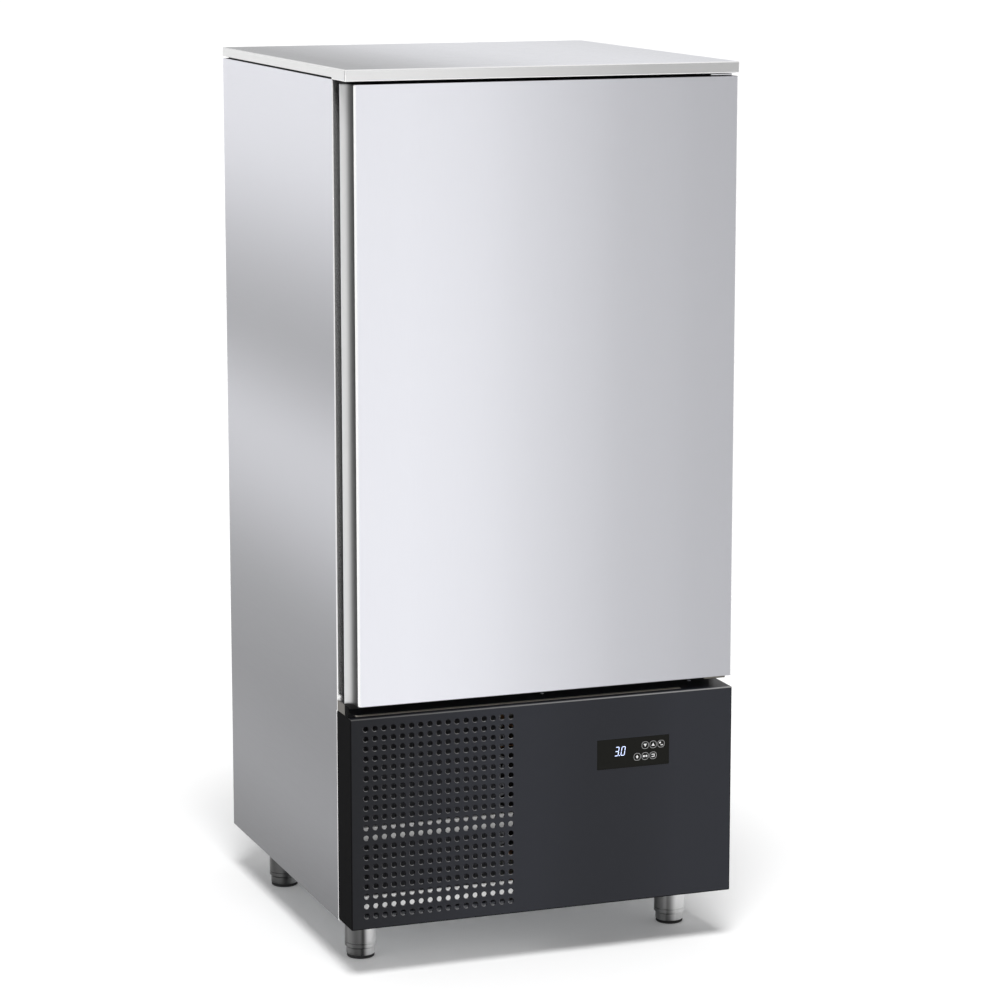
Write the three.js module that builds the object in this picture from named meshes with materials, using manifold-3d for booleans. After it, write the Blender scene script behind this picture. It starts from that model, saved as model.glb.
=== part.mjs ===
// Upright blast chiller: a stainless cabinet with one insulated door, an evaporator behind a fan
// baffle in the chamber, and a condensing unit in the compartment behind a perforated front panel.
// Millimetres, +Z up. X is the width, the door faces -Y, and the floor is Z = 0.
import * as THREE from 'three';
import { mergeGeometries, mergeVertices } from 'three/addons/utils/BufferGeometryUtils.js';
import Module from 'manifold-3d';

// ---------------------------------------------------------------- driving dimensions
const WIDTH = 790;                    // worktop, side to side
const DEPTH = 820;                    // worktop, front to back
const HEIGHT = 1740;                  // floor to the top of the worktop
const CLEARANCE = 0.3;                // between pieces that touch
const SHEET = 1.5;                    // outer sheet metal
const OVERLAP = 1;                    // between solids that are joined into one

const WORKTOP_LIP = 22;               // front edge of the worktop, over the door
const WORKTOP_EDGE = 18;              // its side and rear edges
const SHADOW_GAP = 4;                 // under the side and rear edges
const ROOF_INSET = 8;                 // what carries the worktop, in from the cabinet's sides
const SIDE_INSET = 1;                 // side panels, in from the worktop's edge
const BACK_INSET = 0.5;               // back panel, in from the worktop's rear edge
const RETURN_WIDTH = 14;              // inward fold at each side panel's front

const DOOR_PROJECTION = 82;           // cabinet front to door front
const DOOR_THICKNESS = 66;
const DOOR_TOP_GAP = 6;
const DOOR_SIDE_INSET = 2;            // door's right edge, in from the worktop's
const LIP_INSET = 17;                 // door's front face, in from the worktop's left edge
const LIP_DEPTH = 24;                 // flat of the pull's lip, before the cove
const COVE_RADIUS = 15;               // hollow of the full-height pull
const GRIP_WIDTH = 34;                // black profile behind the cove
const GRIP_NOSE = 3;                  // its rim behind the cove's edge
const GRIP_SLOPE = 10;                // fall of its slanted face
const GRIP_RECESS = 21;               // finger room beside it
const CAP_THICKNESS = 3;              // the door's end caps
const DOOR_LINER = 1.7;               // inner face sheet

const LEG_HEIGHT = 97;                // floor to the underside of the base
const PANEL_RAISE = 3;                // lower panel, above that underside
const PANEL_HEIGHT = 416;
const PANEL_GAP = 23;                 // lower panel to door

const CHAMBER_WIDTH = 637;
const CHAMBER_FLOOR = 81;             // above the lower panel's top edge
const CHAMBER_CEILING = 65;           // under the cabinet's top
const FLOOR_WALL = 75;                // insulation under the chamber
const REAR_WALL = 60;
const LINER = 1.2;                    // chamber sheet
const FRAME_THICKNESS = 6;            // plastic frame that the gasket meets
const BASE_PLATE = 3;

const GASKET_WIDTH = 32;
const GASKET_MARGIN = 23;             // gasket, in from the plastic frame's sides
const GASKET_SILL = 17;               // gasket, in from the door's top and bottom

const HINGE_INSET = 30;               // axis, in from the door's right edge
const HINGE_BEHIND = 25;              // axis, behind the door's front
const HINGE_PLATE_WIDTH = 44;
const HINGE_PLATE_NOSE = 12;          // plate in front of the axis
const LOWER_PLATE = 5;
const UPPER_PLATE = 3;
const PLATE_TO_DOOR = 2;              // lower hinge plate to the door above it
const PIN_RADIUS = 6;
const PIN_ENGAGEMENT = 22;            // pin inside the door
const BUSH_RADIUS = 10;
const BUSH_DEPTH = 27;
const HINGE_LEG = 18;                 // hinge plate's fold against the cabinet

const HOLE_DIAMETER = 10;
const HOLE_COLUMNS = 17;
const HOLE_ROWS = 20;
const HOLE_COLUMN_PITCH = 18.4;
const HOLE_ROW_PITCH = 19.4;
const HOLE_FROM_SIDE = 30.7;          // first column, from the panel's left edge
const HOLE_FROM_TOP = 21;             // first row, from the panel's top edge
const HOLE_SIDES = 4;

const WINDOW_WIDTH = 151.5;
const WINDOW_HEIGHT = 59;
const WINDOW_FROM_LEFT = 504.6;       // from the panel's left edge
const WINDOW_FROM_TOP = 85.5;         // from the panel's top edge
const MODULE_RIM = 5;                 // display body, past the window behind the panel
const MODULE_DEPTH = 14;
const KEY_ROWS = 2;
const KEY_COLUMNS = 3;
const KEY_SIZE = 15.2;
const KEY_RADIUS = 3;
const KEY_DEPTH = 4;
const KEY_COLUMN_PITCH = 16.8;
const KEY_ROW_PITCH = 22;
const KEY_TRAVEL = 0.6;
const KEY_FROM_RIGHT = 16.8;          // upper row's last key, from the window's right edge
const KEY_FROM_TOP = 17.5;            // upper row, from the window's top edge

const RAIL_PITCH = 70;
const RAIL_FIRST = 60;                // first rail above the chamber floor
const RAIL_HEADROOM = 60;             // least room over the last rail
const RAIL_REACH = 20;                // ledge that a tray rests on
const RAIL_HEIGHT = 12;
const RAIL_THICKNESS = 1.6;
const UPRIGHT_WIDTH = 26;
const UPRIGHT_THICKNESS = 3;
const RACK_FRONT = 16;                // rack, behind the cabinet's front
const RACK_FOOT = 30;                 // uprights' ends past the last rails
const UPRIGHT_INSET = 40;             // uprights, in from the rails' ends

const BAFFLE_GAP = 10;                // rack to fan baffle
const BAFFLE_EDGE = 64;               // air gap over and under the baffle
const FAN_RADIUS = 128;
const FAN_HOLE_GAP = 6;               // round the blades
const FAN_DEPTH = 30;
const FAN_STANDOFF = 4;               // plate to fan
const FAN_HUB_RADIUS = 34;
const FAN_BLADES = 5;
const BLADE_THICKNESS = 2;
const BLADE_ROOT_WIDTH = 30;
const BLADE_TIP_WIDTH = 60;
const BLADE_SINK = 7;                 // blade's root, inside the hub
const BLADE_SHOULDER = 8;             // tip's corners, in from the fan's radius
const BLADE_BOW = 4;                  // of its leading and trailing edges
const BLADE_PITCH_DEG = 24;
const FAN_FROM_END = 219;             // evaporator fan's centre, from the baffle's end
const SHAFT_RADIUS = 5;
const MOTOR_RADIUS = 44;
const MOTOR_LENGTH = 52;
const ARM_WIDTH = 10;
const ARM_THICKNESS = 3;
const ARM_REACH = 26;                 // arm, past the blades' tips
const FAN_ROOM = 116.4;               // baffle to the evaporator's fins
const COIL_WIDTH = 480;
const COIL_DEPTH = 100;
const COIL_PLATE = 3;
const COIL_FROM_REAR = 30;
const COIL_FROM_END = 58;             // under the chamber's ceiling and over its floor
const DRIP_WIDTH = 530;
const DRIP_DEPTH = 150;
const DRIP_HEIGHT = 26;
const TRAY_WALL = 1.5;

const CONDENSER_WIDTH = 310;
const CONDENSER_HEIGHT = 378;
const CONDENSER_DEPTH = 50;
const CONDENSER_FROM_LEFT = 28;
const CONDENSER_FROM_FRONT = 10;      // behind the cabinet's front
const SHROUD_DEPTH = 40;
const STUB_RADIUS = 7;
const STUB_LENGTH = 18;
const PIPE_RADIUS = 6;
const PIPE_BEND = 34;
const PIPE_SIDES = 6;
const PIPE_STEPS = 7;                 // for each of its runs

const COMPRESSOR_RADIUS = 98;
const COMPRESSOR_HEIGHT = 226;
const COMPRESSOR_FROM_RIGHT = 230;    // its axis, from the worktop's edges
const COMPRESSOR_FROM_BACK = 280;
const COMPRESSOR_MOUNT = 12;          // rubber mounts under its plate
const MOUNT_RADIUS = 12;
const MOUNT_INSET = 14;               // mounts, in from the plate's edges
const PORT_OFFSET = 45;               // compressor's ports, from its axis
const PORT_LENGTH = 63;
// Side views of the two vessels, as shares of their radius and height.
const COMPRESSOR_SIDE = [
  [0, 0], [0.9, 0], [0.96, 0.08], [0.96, 0.44], [1, 0.46], [1, 0.52],
  [0.96, 0.54], [0.94, 0.72], [0.8, 0.9], [0.5, 0.98], [0, 1],
];
const RECEIVER_SIDE = [[0, 0], [0.7, 0], [1, 0.08], [1, 0.9], [0.7, 0.98], [0, 1]];
const RECEIVER_RADIUS = 42;
const RECEIVER_HEIGHT = 230;
const BRAZED_DEPTH = 4;               // liquid line inside the receiver's top
const RECEIVER_FROM_RIGHT = 68;       // its axis, from the worktop's edges
const RECEIVER_FROM_BACK = 220;
const ELECTRIC_WIDTH = 230;
const ELECTRIC_DEPTH = 100;
const ELECTRIC_HEIGHT = 200;
const EVAPORATION_TRAY_WIDTH = 280;
const EVAPORATION_TRAY_DEPTH = 240;
const EVAPORATION_TRAY_HEIGHT = 34;

const LOUVRE_COLUMNS = 2;
const LOUVRE_ROWS = 12;
const LOUVRE_WIDTH = 270;
const LOUVRE_HEIGHT = 8;
const LOUVRE_PITCH = 24;
const LOUVRE_FIRST = 60;              // first row above the base

const FOOT_RADIUS = 31;
const FOOT_INSET_SIDE = 66;
const FOOT_INSET_FRONT = 150;
const FOOT_INSET_BACK = 155;
const ADJUSTER_RADIUS = 28;
const ADJUSTER_HEIGHT = 22;           // shown under the sleeve
const SPIGOT_RADIUS = 16;
const SPIGOT_HEIGHT = 50;
const SPIGOT_CLEARANCE = 0.5;
const SOLE_HEIGHT = 4;
const SOLE_INSET = 2;
const FOOT_SIDES = 18;

const GLAND_RADIUS = 14;
const GLAND_BORE = 6;
const GLAND_HEIGHT = 24;
const GLAND_NUT_HEIGHT = 9;
const GLAND_CONE_RADIUS = 11;
const GLAND_TAPER = 3;                // in and up, at the cone's lower end

// ---------------------------------------------------------------- planes and levels
const LEFT = -WIDTH / 2;
const RIGHT = WIDTH / 2;
const FRONT = -DEPTH / 2;
const BACK = DEPTH / 2;
const CABINET_FRONT = FRONT + DOOR_PROJECTION;
const SIDE_OUTER = RIGHT - SIDE_INSET;
const SIDE_INNER = SIDE_OUTER - SHEET;
const CORE_SIDE = SIDE_INNER - CLEARANCE;
const BACK_OUTER = BACK - BACK_INSET;
const CORE_BACK = BACK_OUTER - SHEET - CLEARANCE;
const WORKTOP_UNDER = HEIGHT - WORKTOP_EDGE;
const CABINET_TOP = WORKTOP_UNDER - SHADOW_GAP;
const PANEL_BOTTOM = LEG_HEIGHT + PANEL_RAISE;
const PANEL_TOP = PANEL_BOTTOM + PANEL_HEIGHT;
const DOOR_BOTTOM = PANEL_TOP + PANEL_GAP;
const DOOR_TOP = HEIGHT - WORKTOP_LIP - DOOR_TOP_GAP;
const DOOR_REAR = FRONT + DOOR_THICKNESS;
const DOOR_RIGHT = RIGHT - DOOR_SIDE_INSET;
const CHAMBER_BOTTOM = PANEL_TOP + CHAMBER_FLOOR;
const CHAMBER_TOP = CABINET_TOP - CHAMBER_CEILING;
const CHAMBER_SIDE = CHAMBER_WIDTH / 2;
const LINER_SIDE = CHAMBER_SIDE + LINER;
const LINER_BOTTOM = CHAMBER_BOTTOM - LINER;
const LINER_TOP = CHAMBER_TOP + LINER;
const REAR_WALL_FRONT = CORE_BACK - REAR_WALL;
const LINER_BACK = REAR_WALL_FRONT - CLEARANCE;
const CHAMBER_BACK = LINER_BACK - LINER;
const COIL_REAR = CHAMBER_BACK - CLEARANCE - COIL_FROM_REAR;
const COIL_FRONT = COIL_REAR - COIL_DEPTH;
const BAFFLE_REAR = COIL_FRONT - FAN_ROOM;
const BAFFLE_FRONT = BAFFLE_REAR - SHEET;
const CORE_FRONT = CABINET_FRONT + FRAME_THICKNESS + CLEARANCE;
const FLOOR_WALL_BOTTOM = LINER_BOTTOM - CLEARANCE - FLOOR_WALL;
const BASE_TOP = LEG_HEIGHT + BASE_PLATE;
const STAND = BASE_TOP + CLEARANCE;   // what stands on the base plate
const FRAME_SIDE = SIDE_INNER - RETURN_WIDTH + SHEET - CLEARANCE;

// ---------------------------------------------------------------- finishes
const finish = (color, roughness, metalness) => ({ color, roughness, metalness });
const STAINLESS = finish(0xd4d5d8, 0.34, 0.9);
const GALVANISED = finish(0xb9bdc0, 0.45, 0.85);
const BLACK_SHEET = finish(0x2b2c30, 0.45, 0.2);
const BLACK_PLASTIC = finish(0x17181a, 0.5, 0);
const GLOSS_BLACK = finish(0x0b0b0d, 0.12, 0);
const GREY_PLASTIC = finish(0x4a4b4e, 0.55, 0);
const RUBBER = finish(0x141414, 0.8, 0);
const FOAM = finish(0xd9c28f, 0.9, 0);
const ALUMINIUM = finish(0xc3c6c8, 0.4, 0.9);
const COPPER = finish(0xb4703f, 0.35, 0.9);
const BLACK_ENAMEL = finish(0x1b1c1e, 0.3, 0.2);
const PALE_PLASTIC = finish(0xc9cbc6, 0.6, 0);

// ---------------------------------------------------------------- geometry helpers
const wasm = await Module();
wasm.setup();

function toSolid(geometry) {
  const bare = geometry.index ? geometry.toNonIndexed() : geometry.clone();
  bare.deleteAttribute('normal');
  bare.deleteAttribute('uv');
  const merged = mergeVertices(bare, 1e-4);
  const vertProperties = new Float32Array(merged.attributes.position.array);
  const triVerts = new Uint32Array(merged.index.array);
  return new wasm.Manifold(new wasm.Mesh({ numProp: 3, vertProperties, triVerts }));
}

function toGeometry(solid) {
  const { vertProperties, triVerts } = solid.getMesh();
  const geometry = new THREE.BufferGeometry();
  geometry.setAttribute('position', new THREE.BufferAttribute(vertProperties, 3));
  geometry.setIndex(new THREE.BufferAttribute(triVerts, 1));
  geometry.computeVertexNormals();
  return geometry;
}

const join = (geometries) => toGeometry(geometries.map(toSolid).reduce((sum, next) => sum.add(next)));

const cut = (geometry, tools) => toGeometry(
  tools.map(toSolid).reduce((rest, tool) => rest.subtract(tool), toSolid(geometry)),
);

// Many tools that don't touch each other cut as one.
const perforate = (geometry, tools) => cut(geometry, [mergeGeometries(tools)]);

// A box between two values on each axis.
function block([x0, x1], [y0, y1], [z0, z1]) {
  const geometry = new THREE.BoxGeometry(x1 - x0, y1 - y0, z1 - z0);
  return geometry.translate((x0 + x1) / 2, (y0 + y1) / 2, (z0 + z1) / 2);
}

const outline = (points) => new THREE.Shape(points.map(([u, v]) => new THREE.Vector2(u, v)));

const extrude = (shape, length, curveSegments = 3) => new THREE.ExtrudeGeometry(
  shape,
  { depth: length, bevelEnabled: false, curveSegments },
);

// Prisms of a plan (X, Y), a side view (Y, Z) or a front view (X, Z).
const prismZ = (shape, [z0, z1], curveSegments) => (
  extrude(shape, z1 - z0, curveSegments).translate(0, 0, z0)
);

function prismX(shape, [x0, x1]) {
  const turn = new THREE.Matrix4().makeBasis(
    new THREE.Vector3(0, 1, 0),
    new THREE.Vector3(0, 0, 1),
    new THREE.Vector3(1, 0, 0),
  );
  return extrude(shape, x1 - x0).applyMatrix4(turn).translate(x0, 0, 0);
}

function prismY(shape, [y0, y1]) {
  const turn = new THREE.Matrix4().makeBasis(
    new THREE.Vector3(1, 0, 0),
    new THREE.Vector3(0, 0, 1),
    new THREE.Vector3(0, -1, 0),
  );
  return extrude(shape, y1 - y0).applyMatrix4(turn).translate(0, y1, 0);
}

const rectangle = ([u0, u1], [v0, v1]) => outline([[u0, v0], [u1, v0], [u1, v1], [u0, v1]]);

function roundedRectangle(u, v, width, height, radius) {
  const [a, b] = [width / 2 - radius, height / 2 - radius];
  const shape = new THREE.Shape();
  shape.absarc(u + a, v + b, radius, 0, Math.PI / 2);
  shape.absarc(u - a, v + b, radius, Math.PI / 2, Math.PI);
  shape.absarc(u - a, v - b, radius, Math.PI, 1.5 * Math.PI);
  shape.absarc(u + a, v - b, radius, 1.5 * Math.PI, 2 * Math.PI);
  return shape;
}

// A circle drawn with few sides keeps its area.
function roundShape(u, v, radius, sides) {
  const reach = radius * Math.sqrt((2 * Math.PI) / (sides * Math.sin((2 * Math.PI) / sides)));
  const points = Array.from({ length: sides }, (_, i) => {
    const angle = (2 * Math.PI * (i + 0.5)) / sides;
    return new THREE.Vector2(u + reach * Math.cos(angle), v + reach * Math.sin(angle));
  });
  return new THREE.Shape(points);
}

// A ring between an outer and an inner rectangle, as a front view.
function frameShape(outer, inner) {
  const shape = rectangle(...outer);
  shape.holes.push(rectangle(...inner));
  return shape;
}

const cylinderY = (x, z, radius, [y0, y1], sides = 20) => new THREE.CylinderGeometry(
  radius,
  radius,
  y1 - y0,
  sides,
).translate(x, (y0 + y1) / 2, z);

const cylinderZ = (x, y, radius, [z0, z1], sides = 20) => new THREE.CylinderGeometry(
  radius,
  radius,
  z1 - z0,
  sides,
).rotateX(Math.PI / 2).translate(x, y, (z0 + z1) / 2);

const cylinderX = (y, z, radius, [x0, x1], sides = 16) => new THREE.CylinderGeometry(
  radius,
  radius,
  x1 - x0,
  sides,
).rotateZ(Math.PI / 2).translate((x0 + x1) / 2, y, z);

// A turned piece about a vertical axis: points are [radius, height].
function turned(points, x, y, z, sides = 20) {
  const profile = points.map(([r, h]) => new THREE.Vector2(r, h));
  return new THREE.LatheGeometry(profile, sides).rotateX(Math.PI / 2).translate(x, y, z);
}

// A turned vessel whose side view is given in shares of its radius and height.
const vessel = (side, radius, height, x, y, z, sides) => turned(
  side.map(([r, h]) => [r * radius, h * height]),
  x,
  y,
  z,
  sides,
);

// An open tray with a floor and four walls.
function tray([x0, x1], [y0, y1], [z0, z1], wall) {
  const hollow = block([x0 + wall, x1 - wall], [y0 + wall, y1 - wall], [z0 + wall, z1 + wall]);
  return cut(block([x0, x1], [y0, y1], [z0, z1]), [hollow]);
}

// A pipe of straight runs with rounded bends through the given corners.
function pipe(corners, radius, bend) {
  const points = corners.map((corner) => new THREE.Vector3(...corner));
  const path = new THREE.CurvePath();
  let from = points[0];
  for (let i = 1; i < points.length - 1; i += 1) {
    const before = points[i - 1].clone().sub(points[i]).setLength(bend).add(points[i]);
    const after = points[i + 1].clone().sub(points[i]).setLength(bend).add(points[i]);
    path.add(new THREE.LineCurve3(from, before));
    path.add(new THREE.QuadraticBezierCurve3(before, points[i], after));
    from = after;
  }
  path.add(new THREE.LineCurve3(from, points[points.length - 1]));
  const section = new THREE.Shape().setFromPoints(
    Array.from({ length: PIPE_SIDES }, (_, i) => new THREE.Vector2(
      radius * Math.cos((2 * i * Math.PI) / PIPE_SIDES),
      radius * Math.sin((2 * i * Math.PI) / PIPE_SIDES),
    )),
  );
  const steps = PIPE_STEPS * (corners.length - 1);
  return new THREE.ExtrudeGeometry(section, { steps, bevelEnabled: false, extrudePath: path });
}

const group = new THREE.Group();

function add(name, geometry, { color, roughness, metalness }) {
  const material = new THREE.MeshStandardMaterial({ color, roughness, metalness });
  const mesh = new THREE.Mesh(geometry, material);
  mesh.name = name;
  group.add(mesh);
}

// ---------------------------------------------------------------- cabinet shell
// Closed box over the door, and from there back a sheet with its edges folded down.
function worktop() {
  const step = CABINET_FRONT - CLEARANCE;
  const side = outline([
    [FRONT, HEIGHT - WORKTOP_LIP],
    [step, HEIGHT - WORKTOP_LIP],
    [step, WORKTOP_UNDER],
    [BACK, WORKTOP_UNDER],
    [BACK, HEIGHT],
    [FRONT, HEIGHT],
  ]);
  const underside = block(
    [LEFT + SHEET, RIGHT - SHEET],
    [step + SHEET, BACK - SHEET],
    [WORKTOP_UNDER - SHEET, HEIGHT - SHEET],
  );
  return cut(prismX(side, [LEFT, RIGHT]), [underside]);
}

// Side sheet with its front edge folded inwards: sign is -1 on the left.
function sidePanel(sign) {
  const plan = outline([
    [sign * SIDE_OUTER, CABINET_FRONT],
    [sign * (SIDE_INNER - RETURN_WIDTH + SHEET), CABINET_FRONT],
    [sign * (SIDE_INNER - RETURN_WIDTH + SHEET), CABINET_FRONT + SHEET],
    [sign * SIDE_INNER, CABINET_FRONT + SHEET],
    [sign * SIDE_INNER, BACK_OUTER],
    [sign * SIDE_OUTER, BACK_OUTER],
  ]);
  return prismZ(plan, [LEG_HEIGHT, CABINET_TOP]);
}

function backPanel() {
  const sheet = block([-CORE_SIDE, CORE_SIDE], [BACK_OUTER - SHEET, BACK_OUTER], [LEG_HEIGHT, CABINET_TOP]);
  const columnPitch = (2 * CORE_SIDE) / LOUVRE_COLUMNS;
  const slots = [];
  for (let column = 0; column < LOUVRE_COLUMNS; column += 1) {
    const x = (column - (LOUVRE_COLUMNS - 1) / 2) * columnPitch;
    for (let row = 0; row < LOUVRE_ROWS; row += 1) {
      const z = LEG_HEIGHT + LOUVRE_FIRST + row * LOUVRE_PITCH;
      slots.push(block(
        [x - LOUVRE_WIDTH / 2, x + LOUVRE_WIDTH / 2],
        [BACK_OUTER - 2 * SHEET, BACK_OUTER + SHEET],
        [z - LOUVRE_HEIGHT / 2, z + LOUVRE_HEIGHT / 2],
      ));
    }
  }
  return perforate(sheet, slots);
}

// Insulation over the chamber, with the raised middle that carries the worktop.
function ceilingWall() {
  const slab = block(
    [-CORE_SIDE, CORE_SIDE],
    [CORE_FRONT, CORE_BACK],
    [LINER_TOP + CLEARANCE, CABINET_TOP - CLEARANCE],
  );
  const spacer = block(
    [-CORE_SIDE + ROOF_INSET, CORE_SIDE - ROOF_INSET],
    [CORE_FRONT + ROOF_INSET, CORE_BACK - ROOF_INSET],
    [CABINET_TOP - ROOF_INSET, HEIGHT - SHEET - CLEARANCE],
  );
  return join([slab, spacer]);
}

function sideWall(sign) {
  const faces = [sign * (LINER_SIDE + CLEARANCE), sign * CORE_SIDE].sort((a, b) => a - b);
  return block(faces, [CORE_FRONT, CORE_BACK], [FLOOR_WALL_BOTTOM, LINER_TOP]);
}

function chamberLiner() {
  const outer = block(
    [-LINER_SIDE, LINER_SIDE],
    [CABINET_FRONT + CLEARANCE, LINER_BACK],
    [LINER_BOTTOM, LINER_TOP],
  );
  const inner = block([-CHAMBER_SIDE, CHAMBER_SIDE], [FRONT, CHAMBER_BACK], [CHAMBER_BOTTOM, CHAMBER_TOP]);
  return cut(outer, [inner]);
}

function frontFrame() {
  const shape = frameShape(
    [[-FRAME_SIDE, FRAME_SIDE], [PANEL_TOP - SHEET, CABINET_TOP - CLEARANCE]],
    [
      [-LINER_SIDE - CLEARANCE, LINER_SIDE + CLEARANCE],
      [LINER_BOTTOM - CLEARANCE, LINER_TOP + CLEARANCE],
    ],
  );
  return prismY(shape, [CABINET_FRONT, CABINET_FRONT + FRAME_THICKNESS]);
}

add('worktop', worktop(), STAINLESS);
add('side_panel_left', sidePanel(-1), STAINLESS);
add('side_panel_right', sidePanel(1), STAINLESS);
add('back_panel', backPanel(), GALVANISED);
add('wall_left', sideWall(-1), FOAM);
add('wall_right', sideWall(1), FOAM);
add('wall_ceiling', ceilingWall(), FOAM);
add('wall_floor', block(
  [-LINER_SIDE, LINER_SIDE],
  [CORE_FRONT, CORE_BACK],
  [FLOOR_WALL_BOTTOM, LINER_BOTTOM - CLEARANCE],
), FOAM);
add('wall_rear', block(
  [-LINER_SIDE, LINER_SIDE],
  [REAR_WALL_FRONT, CORE_BACK],
  [LINER_BOTTOM, LINER_TOP],
), FOAM);
add('chamber_liner', chamberLiner(), STAINLESS);
add('front_frame', frontFrame(), GREY_PLASTIC);
add('base_plate', block(
  [-CORE_SIDE, CORE_SIDE],
  [CABINET_FRONT + CLEARANCE + SHEET, CORE_BACK],
  [LEG_HEIGHT, BASE_TOP],
), GALVANISED);

// ---------------------------------------------------------------- feet
function footSleeve(x, y) {
  const bore = SPIGOT_RADIUS + SPIGOT_CLEARANCE;
  const height = LEG_HEIGHT - CLEARANCE - ADJUSTER_HEIGHT;
  const floor = SPIGOT_HEIGHT + 2 * CLEARANCE;
  const profile = [
    [bore, 0],
    [FOOT_RADIUS, 0],
    [FOOT_RADIUS, height],
    [0, height],
    [0, floor],
    [bore, floor],
    [bore, 0],
  ];
  return turned(profile, x, y, ADJUSTER_HEIGHT, FOOT_SIDES);
}

function footAdjuster(x, y) {
  const top = ADJUSTER_HEIGHT - CLEARANCE;
  const spigotTop = ADJUSTER_HEIGHT + SPIGOT_HEIGHT;
  const sole = ADJUSTER_RADIUS - SOLE_INSET;
  const profile = [
    [0, 0],
    [sole, 0],
    [sole, SOLE_HEIGHT],
    [ADJUSTER_RADIUS, SOLE_HEIGHT],
    [ADJUSTER_RADIUS, top],
    [SPIGOT_RADIUS, top],
    [SPIGOT_RADIUS, spigotTop],
    [0, spigotTop],
  ];
  return turned(profile, x, y, 0, FOOT_SIDES);
}

const FOOT_PLACES = {
  front_left: [LEFT + FOOT_INSET_SIDE, FRONT + FOOT_INSET_FRONT],
  front_right: [RIGHT - FOOT_INSET_SIDE, FRONT + FOOT_INSET_FRONT],
  rear_left: [LEFT + FOOT_INSET_SIDE, BACK - FOOT_INSET_BACK],
  rear_right: [RIGHT - FOOT_INSET_SIDE, BACK - FOOT_INSET_BACK],
};

for (const [place, [x, y]] of Object.entries(FOOT_PLACES)) {
  add(`foot_sleeve_${place}`, footSleeve(x, y), STAINLESS);
  add(`foot_adjuster_${place}`, footAdjuster(x, y), STAINLESS);
}

// ---------------------------------------------------------------- door
const DOOR_LEFT = LEFT + LIP_INSET;                 // left edge of the front face
const COVE_X = DOOR_LEFT - COVE_RADIUS;             // axis of the cove, and its outer edge
const COVE_Y = FRONT + LIP_DEPTH;
const COVE_BACK = COVE_Y + COVE_RADIUS + SHEET;     // rear of the sheet at the cove's edge
const GRIP_LEFT = COVE_X + SHEET;
const GRIP_RIGHT = GRIP_LEFT + GRIP_WIDTH;
const GRIP_FRONT = COVE_BACK + CLEARANCE;
const AXIS_X = DOOR_RIGHT - HINGE_INSET;
const AXIS_Y = FRONT + HINGE_BEHIND;
const CORE_RIGHT = DOOR_RIGHT - SHEET - CLEARANCE;
const DOOR_CORE_FRONT = FRONT + SHEET + CLEARANCE;
const DOOR_CORE_LEFT = DOOR_LEFT + SHEET + CLEARANCE;
const DOOR_LINER_FRONT = DOOR_REAR - DOOR_LINER;

// The outer sheet in plan: right side, front face, lip and cove.
function doorSkin() {
  const plan = new THREE.Shape();
  plan.moveTo(DOOR_RIGHT, DOOR_REAR);
  plan.lineTo(DOOR_RIGHT, FRONT);
  plan.lineTo(DOOR_LEFT, FRONT);
  plan.lineTo(DOOR_LEFT, COVE_Y);
  plan.absarc(COVE_X, COVE_Y, COVE_RADIUS, 0, Math.PI / 2, false);
  plan.lineTo(COVE_X, COVE_BACK);
  plan.absarc(COVE_X, COVE_Y, COVE_RADIUS + SHEET, Math.PI / 2, 0, true);
  plan.lineTo(DOOR_LEFT + SHEET, FRONT + SHEET);
  plan.lineTo(DOOR_RIGHT - SHEET, FRONT + SHEET);
  plan.lineTo(DOOR_RIGHT - SHEET, DOOR_REAR);
  return prismZ(plan, [DOOR_BOTTOM, DOOR_TOP], 8);
}

// Everything inside the outer sheet, back to the given plane.
const doorFilling = (rear) => outline([
  [CORE_RIGHT, DOOR_CORE_FRONT],
  [DOOR_CORE_LEFT, DOOR_CORE_FRONT],
  [DOOR_CORE_LEFT, GRIP_FRONT - 2 * CLEARANCE],
  [GRIP_RIGHT + CLEARANCE, GRIP_FRONT - 2 * CLEARANCE],
  [GRIP_RIGHT + CLEARANCE, rear],
  [CORE_RIGHT, rear],
]);

const bushPocket = ([z0, z1]) => cylinderZ(AXIS_X, AXIS_Y, BUSH_RADIUS + CLEARANCE, [z0, z1]);

function doorCore() {
  const filling = prismZ(
    doorFilling(DOOR_LINER_FRONT - CLEARANCE),
    [DOOR_BOTTOM + CAP_THICKNESS + CLEARANCE, DOOR_TOP - CAP_THICKNESS - CLEARANCE],
  );
  return cut(filling, [
    bushPocket([DOOR_BOTTOM, DOOR_BOTTOM + BUSH_DEPTH + CLEARANCE]),
    bushPocket([DOOR_TOP - BUSH_DEPTH - CLEARANCE, DOOR_TOP]),
  ]);
}

const doorCap = (span) => cut(
  prismZ(doorFilling(DOOR_REAR), span),
  [bushPocket([span[0] - CLEARANCE, span[1] + CLEARANCE])],
);

function doorBush([z0, z1]) {
  const bore = PIN_RADIUS + CLEARANCE;
  const height = z1 - z0;
  const profile = [[bore, 0], [BUSH_RADIUS, 0], [BUSH_RADIUS, height], [bore, height], [bore, 0]];
  return turned(profile, AXIS_X, AXIS_Y, z0);
}

// Black profile behind the cove; its slanted face and recess make the finger room.
function doorGrip() {
  const plan = outline([
    [GRIP_LEFT, GRIP_FRONT],
    [GRIP_LEFT, GRIP_FRONT + GRIP_NOSE],
    [GRIP_LEFT + GRIP_RECESS, GRIP_FRONT + GRIP_NOSE + GRIP_SLOPE],
    [GRIP_LEFT + GRIP_RECESS, DOOR_REAR],
    [GRIP_RIGHT, DOOR_REAR],
    [GRIP_RIGHT, GRIP_FRONT],
  ]);
  return prismZ(plan, [DOOR_BOTTOM, DOOR_TOP]);
}

const GASKET_SIDE = FRAME_SIDE - GASKET_MARGIN;

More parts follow.
